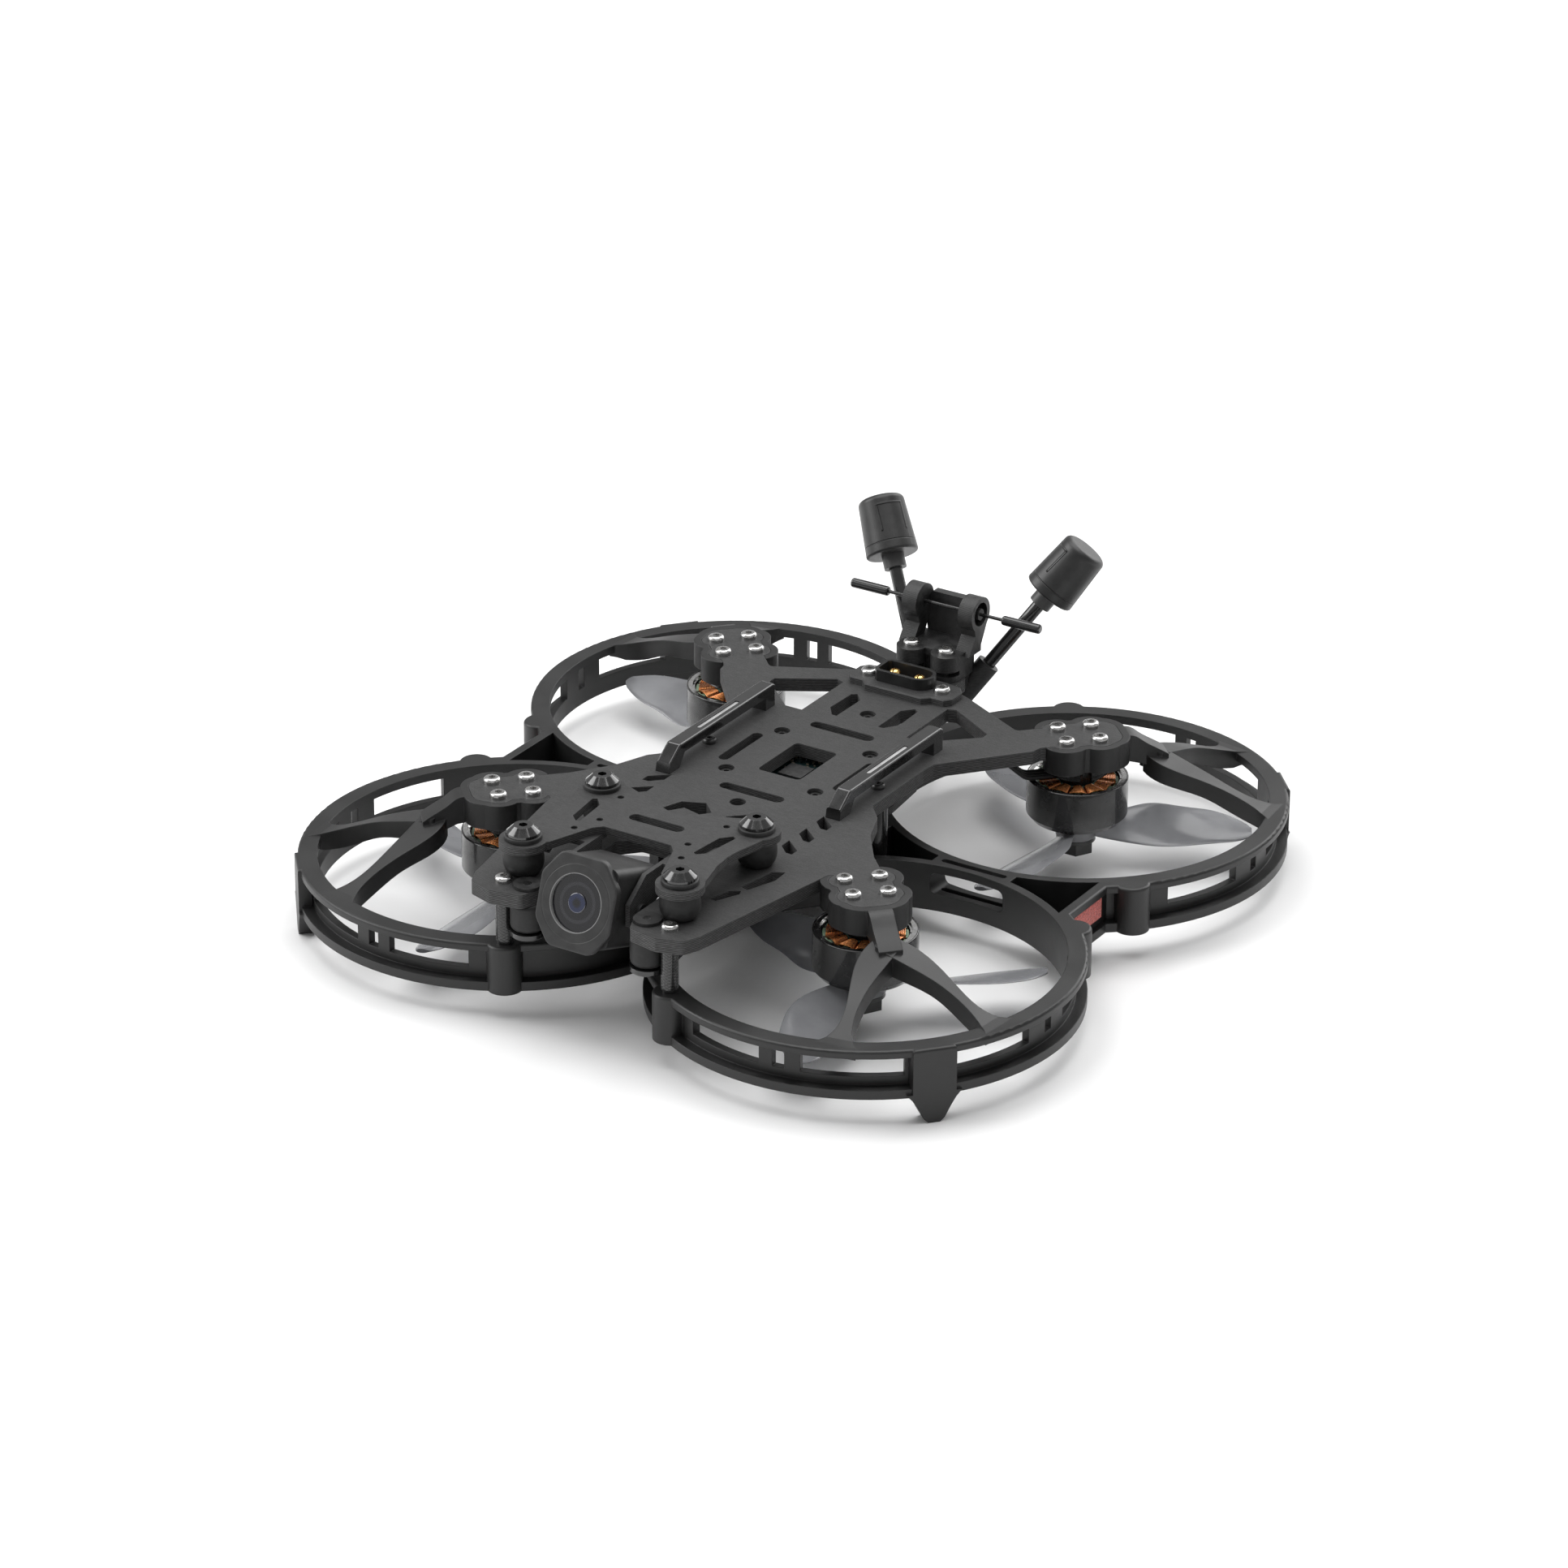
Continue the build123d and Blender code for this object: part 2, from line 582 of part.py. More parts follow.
# ---- strap rails along both sides
rail_front = -23.5
rail_rear = 25.0
rail_slot = (1.5, 18.4, 1.3)   # middle along the drone, length, width
rail_thick = 2.6
with BuildPart() as side_rails:
    for side in (1, -1):
        with BuildSketch(Plane.YZ.offset(side * rail_x - rail_w / 2)):
            with BuildLine():
                Polyline((rail_front, arms_top), (rail_front + 0.6, arms_top + 2.6), (rail_front + 5.2, rail_top),
                         (rail_rear, rail_top), (rail_rear, arms_top), (rail_rear - 4.6, arms_top),
                         (rail_rear - 4.6, rail_top - rail_thick), (rail_front + 7, rail_top - rail_thick),
                         (rail_front + 4.6, arms_top), close=True)
            make_face()
        extrude(amount=rail_w)
    fillet(side_rails.edges().filter_by(Axis.X).group_by(Axis.Z)[-1], 1.2)
    fillet(side_rails.faces().group_by(Axis.Z)[-1].edges().filter_by(Axis.Y), 0.5)
    with BuildSketch(Plane.XY.offset(rail_top - 1.1)):
        with Locations((rail_x, rail_slot[0]), (-rail_x, rail_slot[0])):
            SlotOverall(rail_slot[1], rail_slot[2], rotation=90)
    extrude(amount=2, mode=Mode.SUBTRACT)
save(side_rails, "side_rails")

with BuildPart() as rail_strips:
    with BuildSketch(Plane.XY.offset(rail_top - 1.1)):
        with Locations((rail_x, rail_slot[0]), (-rail_x, rail_slot[0])):
            SlotOverall(rail_slot[1] - 0.2, rail_slot[2] - 0.2, rotation=90)
    extrude(amount=0.8)
save(rail_strips, "rail_strips")

# ---- power connector at the back
shell_w = 15.6
shell_d = 7.8
shell_top = arms_top + 4.8
flange_screw = (10.6, 50.6)

with BuildSketch() as shell_outline:
    with BuildLine():
        straight = shell_w / 2 - shell_d / 2
        Polyline((straight, shell_d / 2), (1.2 - shell_w / 2, shell_d / 2), (-shell_w / 2, shell_d / 2 - 1.2),
                 (-shell_w / 2, 1.2 - shell_d / 2), (1.2 - shell_w / 2, -shell_d / 2), (straight, -shell_d / 2))
        RadiusArc((straight, -shell_d / 2), (straight, shell_d / 2), -shell_d / 2)
    make_face()

with BuildPart() as connector_bracket:
    with BuildSketch(Plane.XY.offset(arms_top)):
        outline([(0, 44.4), (8.2, 44.4), (10, 46.2), (13.6, 46.2), (15, 48), (15, 53), (13.4, 55.2), (9, 56),
                 (0, 56)])
        with Locations((0, connector_y)):
            add(shell_outline.sketch, mode=Mode.SUBTRACT)
        with Locations(*mirrored(flange_screw)):
            Circle(screw_r + slip, mode=Mode.SUBTRACT)
    extrude(amount=flange_thick)
    chamfer(connector_bracket.faces().sort_by(Axis.Z)[-1].outer_wire().edges(), 0.3)
save(connector_bracket, "connector_bracket")

with BuildPart() as power_connector:
    with BuildSketch(Plane.XY.offset(arms_top)):
        add(shell_outline.sketch)
    extrude(amount=shell_top - arms_top)
    with BuildSketch(Plane.XY.offset(arms_top + 1)):
        add(shell_outline.sketch)
        offset(amount=-0.9, kind=Kind.ARC)
    extrude(amount=shell_top - arms_top, mode=Mode.SUBTRACT)
    with BuildSketch(Plane.XY.offset(arms_top)):
        with Locations((pin_x, 0), (-pin_x, 0)):
            Circle(pin_r + slip)
    extrude(amount=1, mode=Mode.SUBTRACT)
power_connector.part = Location((0, connector_y, 0)) * power_connector.part
save(power_connector, "power_connector")

with BuildPart() as connector_pins:
    for side in (1, -1):
        add(rod(side * pin_x, connector_y, pin_bottom, shell_top - 0.5, pin_r))
    fillet(connector_pins.faces().group_by(Axis.Z)[-1].edges(), pin_r * 0.8)
    with BuildSketch(Plane.XY.offset(shell_top - 3.5)):
        with Locations((pin_x, connector_y), (-pin_x, connector_y)):
            Rectangle(0.35, 4)
            Rectangle(4, 0.35)
    extrude(amount=4, mode=Mode.SUBTRACT)
save(connector_pins, "connector_pins")

# ---- printed antenna mount
mount_block = arms_top
lug_r = 3.9
ear_x = 8.2
ear_w = 4.2
ear_r = 4.5
ear_bore = 3.1
ear_disc = 1.4                 # wall at the inner side of each ear's bore
grommet_r = 1.5
socket_r = 3.0
socket_top = 21.5              # neck to the mouth of the socket, along the aerial
socket_end = 37.0
stem_end = 34.0

with BuildPart() as antenna_mount:
    with BuildSketch(Plane.XY.offset(mount_block)):
        with Locations(*mirrored(mount_screw)):
            Circle(lug_r)
        with Locations((0, 65.2)):
            Rectangle(17.8, 6.8)
    extrude(amount=mount_top - mount_block)
    with BuildSketch(Plane.XY.offset(mount_block + 1.6)):
        with Locations((0, 59)):
            Rectangle(20, 6)
    extrude(amount=1.2, mode=Mode.SUBTRACT)
    with BuildSketch(Plane.XY.offset(mount_block)):
        with Locations((0, 58)):
            Rectangle(2.4, 9)
    extrude(amount=mount_top - mount_block - 1.8, mode=Mode.SUBTRACT)
    for side in (1, -1):
        with BuildSketch(Plane.YZ.offset(side * ear_x - ear_w / 2)):
            with BuildLine():
                Polyline((64.2, mount_top - 1), (69.4, mount_top - 1), (ear_y + 4.2, ear_z - 1.2),
                         (ear_y - 3.0, ear_z - 3), (67.4, ear_z - 5.4), close=True)
            make_face()
            with Locations((ear_y, ear_z)):
                Circle(ear_r)
        extrude(amount=ear_w)
    with BuildSketch(Plane.XZ.offset(-74.6)):
        with BuildLine():
            Polyline((-6.2, mount_top - 2.4), (6.2, mount_top - 2.4), (7.6, ear_z - 1), (5.2, ear_z + 2),
                     (-5.2, ear_z + 2), (-7.6, ear_z - 1), close=True)
        make_face()
    extrude(amount=2.4)
    with BuildSketch(Plane.XY.offset(mount_top - 2.4)):
        with Locations((0, 69)):
            Rectangle(17.8, 7.2)
    extrude(amount=2.4)
    for side in (1, -1):
        aim = Vector(side * aerial_dir.X, aerial_dir.Y, aerial_dir.Z)
        neck = Vector(side * aerial_neck.X, aerial_neck.Y, aerial_neck.Z)
        with BuildSketch(Plane(neck - aim * socket_top, z_dir=-aim)):
            Circle(socket_r)
        extrude(amount=socket_end - socket_top)
        with BuildSketch(Plane.XY.offset(arms_bottom - 0.5)):
            with Locations((side * 6.6, 68.2)):
                Rectangle(3.4, 4.2)
        extrude(amount=mount_top - arms_bottom + 0.5)
    with BuildSketch(Plane.XY.offset(arms_bottom - seam)):
        Rectangle(20, 2 * (66 + seam))
    extrude(amount=arms_thick + seam, mode=Mode.SUBTRACT)
    for side in (1, -1):
        aim = Vector(side * aerial_dir.X, aerial_dir.Y, aerial_dir.Z)
        neck = Vector(side * aerial_neck.X, aerial_neck.Y, aerial_neck.Z)
        with BuildSketch(Plane(neck - aim * (socket_top - 6), z_dir=-aim)):
            Circle(stem_r + slip)
        extrude(amount=stem_end - socket_top + 6, mode=Mode.SUBTRACT)
        inner = side * (ear_x - ear_w / 2)
        with BuildSketch(Plane.YZ.offset(inner + side * ear_disc)):
            with Locations((ear_y, ear_z)):
                Circle(ear_bore)
        extrude(amount=side * ear_w, mode=Mode.SUBTRACT)
        with BuildSketch(Plane.YZ.offset(inner)):
            with Locations((ear_y, ear_z)):
                Circle(grommet_r)
        extrude(amount=side * ear_w, mode=Mode.SUBTRACT)
    with BuildSketch(Plane.XY.offset(mount_block)):
        with Locations(*mirrored(mount_screw)):
            Circle(screw_r + slip)
    extrude(amount=20, mode=Mode.SUBTRACT)
save(antenna_mount, "antenna_mount")

# ---- receiver antenna held by the ears
with BuildPart() as antenna_grommets:
    for side in (1, -1):
        with BuildSketch(Plane.YZ.offset(side * ear_x - ear_w / 2)):
            with Locations((ear_y, ear_z)):
                Circle(grommet_r)
                Circle(wire_r + slip, mode=Mode.SUBTRACT)
        extrude(amount=ear_w)
save(antenna_grommets, "antenna_grommets")

wire_end = 17.4
with BuildPart() as receiver_antenna:
    for side in (1, -1):
        with BuildSketch(Plane.YZ.offset(side * 22.1 - 5.5)):
            with Locations((ear_y, ear_z)):
                Circle(1.25)
        extrude(amount=11)
    fillet(receiver_antenna.edges().filter_by(GeomType.CIRCLE), 0.6)
    with BuildSketch(Plane.YZ.offset(-wire_end)):
        with Locations((ear_y, ear_z)):
            Circle(wire_r)
    extrude(amount=2 * wire_end)
save(receiver_antenna, "receiver_antenna")

# ---- video antennas
cap_low = 2.2                  # neck to the flat under the cap, along the aerial
cap_length = 15.2
cap_wide_r = 6.8
cap_narrow_r = 5.9
neck_len = 3.6


def aerial_side(side):
    """Direction and neck point of one aerial."""
    return (Vector(side * aerial_dir.X, aerial_dir.Y, aerial_dir.Z),
            Vector(side * aerial_neck.X, aerial_neck.Y, aerial_neck.Z))


with BuildPart() as antenna_stems:
    for side in (1, -1):
        aim, neck = aerial_side(side)
        with BuildSketch(Plane(neck - aim * stem_end, z_dir=aim)):
            Circle(stem_r)
        extrude(amount=stem_end + cap_low - neck_len)
save(antenna_stems, "antenna_stems")

with BuildPart() as antenna_caps:
    for side in (1, -1):
        aim, neck = aerial_side(side)
        with BuildSketch(Plane(neck + aim * (cap_low - neck_len), z_dir=aim)):
            Circle(2.9)
        extrude(amount=neck_len)
        with BuildSketch(Plane(neck + aim * cap_low, z_dir=aim)):
            Circle(cap_wide_r)
        with BuildSketch(Plane(neck + aim * (cap_low + cap_length), z_dir=aim)):
            Circle(cap_narrow_r)
        loft()
        rims = antenna_caps.edges().filter_by(GeomType.CIRCLE)
        fillet(rims.filter_by(lambda edge: abs(edge.radius - cap_narrow_r) < 0.01).sort_by(Axis.Z)[-1:], 1.5)
        fillet(rims.filter_by(lambda edge: abs(edge.radius - cap_wide_r) < 0.01), 0.6)
save(antenna_caps, "antenna_caps")

# ---- damped upper plate and its dampers
plate_holes = ((14.95, -55.8), (12.4, -68.6), (15, -75.5))
plate_hole_r = 0.85
neck_r = 3.0

with BuildPart() as damping_plate:
    with BuildSketch(Plane.XY.offset(upper_bottom)):
        outline([(0, -56.5), (16, -49.9), (21.8, -50), (26.6, -53), (25.6, -60), (24.4, -65), (23.9, -69.5),
                 (24.4, -75), (26, -81), (27, -86), (21.9, -90), (15.6, -85), (11.4, -73.4), (9.4, -71.2),
                 (0, -71.2)])
        offset(amount=-1, kind=Kind.ARC)
        offset(amount=2, kind=Kind.ARC)
        offset(amount=-1, kind=Kind.ARC)
        with Locations(*mirrored(damper_front, damper_rear)):
            Circle(lobe_r)
            Circle(neck_r + seam, mode=Mode.SUBTRACT)
        with Locations(*mirrored(*plate_holes)):
            Circle(plate_hole_r, mode=Mode.SUBTRACT)
        with Locations((0, -63)):
            SlotOverall(15, 3.3, mode=Mode.SUBTRACT)
    extrude(amount=upper_thick)
    with BuildSketch(Plane.XY.offset(upper_bottom)):
        outline([(20.2, -60), (19.2, -59.4), (16.8, -62), (15.9, -71.6), (16.8, -72.2), (18.9, -70.3)])
    extrude(amount=upper_thick, mode=Mode.SUBTRACT)
save(damping_plate, "damping_plate")

flange_h = 1.2
cap_seat = upper_top + flange_h


def ball(x, y, low, high, over, under, radius, neck):
    """A rubber ball between two plates, with a collar beyond each plate; the plates lie outside low..high."""
    with BuildPart() as made:
        with BuildSketch(Plane.XZ):
            with BuildLine():
                bulge = (low + high) / 2
                Polyline((0, low), (neck + 0.5, low))
                Spline((neck + 0.5, low), (radius, bulge), (radius - 0.5, high),
                       tangents=((0.8, 0.6), (-0.25, 1)))
                Polyline((radius - 0.5, high), (0, high), (0, low))
            make_face()
        revolve(axis=Axis.Z)
        with BuildSketch(Plane.XY.offset(high)):
            Circle(neck)
        extrude(amount=over)
        with BuildSketch(Plane.XY.offset(high + over)):
            Circle(4.45)
        extrude(amount=flange_h)
        fillet(made.faces().sort_by(Axis.Z)[-1].edges(), 0.4)
        with BuildSketch(Plane.XY.offset(low)):
            Circle(2.4)
        extrude(amount=-under)
        with BuildSketch(Plane.XY.offset(low - under)):
            Circle(3.4)
        extrude(amount=-1)
        with BuildSketch(Plane.XY.offset(low - under - 1)):
            Circle(screw_r + slip)
        extrude(amount=60, mode=Mode.SUBTRACT)
    return Location((x, y, 0)) * made.part


low_ball_bottom = arms_bottom - 7.6
with BuildPart() as low_ball:
    with BuildSketch(Plane.XY.offset(low_ball_bottom)):
        Circle(4.2)
    extrude(amount=arms_bottom - low_ball_bottom)
    fillet(low_ball.faces().sort_by(Axis.Z)[0].edges(), 1.8)
    fillet(low_ball.faces().sort_by(Axis.Z)[-1].edges(), 1.2)
    with BuildSketch(Plane.XY.offset(arms_bottom)):
        Circle(2.4)
    extrude(amount=arms_thick)
    with BuildSketch(Plane.XY.offset(arms_top)):
        Circle(3.4)
    extrude(amount=0.8)
    with BuildSketch(Plane.XY.offset(low_ball_bottom)):
        Circle(screw_r + slip)
    extrude(amount=30, mode=Mode.SUBTRACT)

with BuildPart() as damper_balls:
    for x, y in mirrored(damper_front, damper_rear):
        add(ball(x, y, arms_top, upper_bottom, upper_thick, arms_thick, ball_r, neck_r))
    for x, y in mirrored(low_damper):
        add(Location((x, y, 0)) * low_ball.part)
save(damper_balls, "damper_balls")

with BuildPart() as damper_caps:
    for x, y in mirrored(damper_front, damper_rear):
        with BuildSketch(Plane.XY.offset(cap_seat)):
            with Locations((x, y)):
                Circle(cap_r)
        extrude(amount=0.7)
        with BuildSketch(Plane.XY.offset(cap_seat + 0.7)):
            with Locations((x, y)):
                Circle(cap_r)
        with BuildSketch(Plane.XY.offset(cap_seat + 2.3)):
            with Locations((x, y)):
                Circle(2.3)
        loft()
        with BuildSketch(Plane.XY.offset(cap_seat)):
            with Locations((x, y)):
                Circle(screw_r)
        extrude(amount=-(cap_seat - arms_bottom + 2))
        with BuildSketch(Plane.XY.offset(cap_seat + 2.3)):
            with Locations((x, y)):
                RegularPolygon(1.15, 6)
        extrude(amount=-1.3, mode=Mode.SUBTRACT)
save(damper_caps, "damper_caps")

with BuildPart() as lower_ball_discs:
    for x, y in mirrored(low_damper):
        with BuildSketch(Plane.XY.offset(low_ball_bottom - 1.5)):
            with Locations((x, y)):
                Circle(4.3)
        extrude(amount=1.5)
        with BuildSketch(Plane.XY.offset(low_ball_bottom)):
            with Locations((x, y)):
                Circle(screw_r)
        extrude(amount=arms_top + 0.8 - low_ball_bottom)
    fillet(lower_ball_discs.faces().group_by(Axis.Z)[0].edges(), 0.5)
save(lower_ball_discs, "lower_ball_discs")

# ---- camera on its tilting pivot
pivot = Vector(0, camera_y, upper_bottom - camera_drop)
sight = Vector(0, -cos(radians(camera_tilt)), sin(radians(camera_tilt)))
pivot_r = 1.0
bracket_in = camera_w / 2 + 0.4
bracket_thick = 1.2


def camera_plane(forward):
    """The plane square to the line of sight, a distance in front of the pivot axis."""
    return Plane(pivot + sight * forward, x_dir=(1, 0, 0), z_dir=sight)


bezel_back = camera_reach - bezel_thick

with BuildPart() as camera_housing:
    with BuildSketch(camera_plane(-camera_back)):
        RectangleRounded(camera_w, camera_h, 2.2)
    extrude(amount=camera_back + bezel_back)
    for step in range(4):
        with BuildSketch(camera_plane(-camera_back)):
            with Locations((0, -6 + 4 * step)):
                Rectangle(camera_w - 5, 1.3)
        extrude(amount=2, mode=Mode.SUBTRACT)
    with BuildSketch(Plane.YZ.offset(-camera_w / 2)):
        with Locations((pivot.Y, pivot.Z)):
            Circle(pivot_r + slip)
    extrude(amount=camera_w, mode=Mode.SUBTRACT)
save(camera_housing, "camera_housing")

with BuildPart() as camera_bezel:
    with BuildSketch(camera_plane(bezel_back)):
        with BuildLine():
            w, h = bezel_w / 2, bezel_h / 2
            Polyline((-w, -h + 6), (-w + 4.6, -h), (w - 4.6, -h), (w, -h + 6), (w, h - 6), (w - 4.6, h),
                     (-w + 4.6, h), (-w, h - 6), close=True)
        make_face()
        offset(amount=-3, kind=Kind.ARC)
        offset(amount=3, kind=Kind.ARC)
    extrude(amount=bezel_thick)
    fillet(camera_bezel.faces().sort_by(Axis((0, 0, 0), (0, sight.Y, sight.Z)))[-1].edges(), 0.5)
    with BuildSketch(camera_plane(bezel_back)):
        Circle(glass_r)
    extrude(amount=bezel_thick, mode=Mode.SUBTRACT)
save(camera_bezel, "camera_bezel")

with BuildPart() as camera_glass:
    with BuildSketch(camera_plane(bezel_back)):
        Circle(glass_r - slip)
    extrude(amount=bezel_thick - 0.9)
    with BuildSketch(camera_plane(bezel_back + bezel_thick - 0.9)):
        Circle(2.4)
    extrude(amount=0.4)
    fillet(camera_glass.faces().sort_by(Axis((0, 0, 0), (0, sight.Y, sight.Z)))[-1].edges(), 0.25)
save(camera_glass, "camera_glass")

with BuildPart() as camera_brackets:
    for side in (1, -1):
        inner = side * bracket_in
        with BuildSketch(Plane.YZ.offset(inner if side > 0 else inner - bracket_thick)):
            with BuildLine():
                Polyline((-71.6, upper_bottom), (-71.6, upper_bottom - 4), (pivot.Y + 4.4, pivot.Z - 1.4),
                         (pivot.Y + 1, pivot.Z - 4.2), (pivot.Y - 4.2, pivot.Z - 2.6), (pivot.Y - 4.2, pivot.Z + 3),
                         (-84, upper_bottom), close=True)
            make_face()
            with Locations((pivot.Y, pivot.Z)):
                Circle(pivot_r + slip, mode=Mode.SUBTRACT)
        extrude(amount=bracket_thick)
        with BuildSketch(Plane.XY.offset(upper_bottom - 1.4)):
            with Locations((side * (bracket_in + 3.7), -73.4)):
                Rectangle(7.4, 7.4)
            with Locations((side * 15, -75.5)):
                Circle(plate_hole_r, mode=Mode.SUBTRACT)
        extrude(amount=1.4)
save(camera_brackets, "camera_brackets")

with BuildPart() as camera_pivot_screws:
    for side in (1, -1):
        with BuildSketch(Plane.YZ.offset(side * 7)):
            with Locations((pivot.Y, pivot.Z)):
                Circle(pivot_r)
        extrude(amount=side * (bracket_in + bracket_thick - 7))
        with BuildSketch(Plane.YZ.offset(side * (bracket_in + bracket_thick))):
            with Locations((pivot.Y, pivot.Z)):
                Circle(1.9)
        extrude(amount=side * 1.0)
save(camera_pivot_screws, "camera_pivot_screws")

# ---- motors: parts that stay still
bearing_r = 3.5
bearing_h = 2.5
tube_r = 4.4
core_top = base_bottom - 1.1
core_bottom = core_top - core_h
tube_bottom = bell_bottom + bell_floor + 0.8

with BuildPart() as motor_bases:
    for x, y in motor_xy:
        with BuildSketch(Plane.XY.offset(hub_bottom - base_disc)):
            with Locations((x, y)):
                Circle(base_r)
            with Locations(*around(x, y, 7.4, 4, 45)):
                Circle(1.5, mode=Mode.SUBTRACT)
        extrude(amount=base_disc)
        add(rod(x, y, tube_bottom, hub_bottom - base_disc, tube_r))
        with BuildSketch(Plane.XY.offset(tube_bottom)):
            with Locations((x, y)):
                Circle(bearing_r)
        extrude(amount=hub_bottom - tube_bottom, mode=Mode.SUBTRACT)
        with BuildSketch(Plane.XY.offset(hub_bottom - base_disc + 0.3)):
            with Locations(*around(x, y, screw_circle_r)):
                Circle(screw_r + slip)
        extrude(amount=base_disc, mode=Mode.SUBTRACT)
save(motor_bases, "motor_bases")

with BuildPart() as motor_bearings:
    for x, y in motor_xy:
        for low in (tube_bottom + 0.2, hub_bottom - bearing_h - 0.4):
            add(rod(x, y, low, low + bearing_h, bearing_r - 0.02, axle_r + 0.02))
save(motor_bearings, "motor_bearings")

tooth_w = 1.5
with BuildPart() as stator_cores:
    for x, y in motor_xy:
        with BuildSketch(Plane.XY.offset(core_bottom)):
            with Locations((x, y)):
                Circle(core_r)
                Circle(core_r - 0.6, mode=Mode.SUBTRACT)
                Circle(tube_r + 0.8)
                with PolarLocations((core_r + tube_r) / 2, slots):
                    Rectangle(core_r - tube_r - 0.6, tooth_w)
                with PolarLocations(core_r, slots, start_angle=180 / slots):
                    Rectangle(3, 0.9, mode=Mode.SUBTRACT)
                Circle(tube_r + 0.02, mode=Mode.SUBTRACT)
        extrude(amount=core_h)
save(stator_cores, "stator_cores")

coil_in = tube_r + 0.9
coil_out = core_r - 0.7
coil_grow = 0.9
with BuildPart() as stator_windings:
    for x, y in motor_xy:
        with BuildSketch(Plane.XY.offset(core_bottom - coil_grow)):
            with Locations((x, y)):
                Circle(coil_out)
                Circle(coil_in, mode=Mode.SUBTRACT)
                with PolarLocations((coil_in + coil_out) / 2, slots, start_angle=180 / slots):
                    Rectangle(coil_out - coil_in + 3, 0.45, mode=Mode.SUBTRACT)
        extrude(amount=core_h + 2 * coil_grow)
        with BuildSketch(Plane.XY.offset(core_bottom - 0.02)):
            with Locations((x, y)):
                with PolarLocations((coil_in + coil_out) / 2, slots):
                    Rectangle(coil_out - coil_in + 2, tooth_w + 0.04)
        extrude(amount=core_h + 0.04, mode=Mode.SUBTRACT)
save(stator_windings, "stator_windings")

steel_head = {"head": 2.1, "height": 1.4, "socket": 0.9}
with BuildPart() as button_screws:
    for x, y in motor_xy:
        for px, py in around(x, y, screw_circle_r):
            add(screw(px, py, arms_top, hub_depth + base_disc - 0.4, **steel_head))
    for x, y in mirrored(tip_hole):
        add(screw(x, y, arms_top, arms_thick + 4, **steel_head))
    for x, y in mirrored(flange_screw):
        add(screw(x, y, flange_top, flange_thick, **steel_head))
    for x, y in mirrored(mount_screw):
        add(screw(x, y, mount_top, mount_top - arms_bottom + nut_thick, **steel_head))
save(button_screws, "button_screws")

lead_gap = 1.7
lead_z = hub_bottom - base_disc - 0.7
with BuildPart() as motor_leads:
    for x, y in motor_xy:
        span = hypot(x, y)
        along = Vector(-x / span, -y / span, 0)
        across = Vector(-along.Y, along.X, 0)
        for lane in (-1, 0, 1):
            start = Vector(x, y, 0) + along * 4.7 + across * lane * lead_gap
            stop = Vector(x * 0.36, y * 0.36, 0) + across * lane * lead_gap
            points = [start + Vector(0, 0, lead_z), start + along * 8.9 + Vector(0, 0, lead_z),
                      start + along * 14.9 + Vector(0, 0, arms_bottom - 0.85),
                      stop + Vector(0, 0, arms_bottom - 0.85)]
            with BuildLine():
                FilletPolyline(*points, radius=4)
            with BuildSketch(Plane(points[0], z_dir=along)):
                Circle(0.6)
            sweep()
save(motor_leads, "motor_leads")

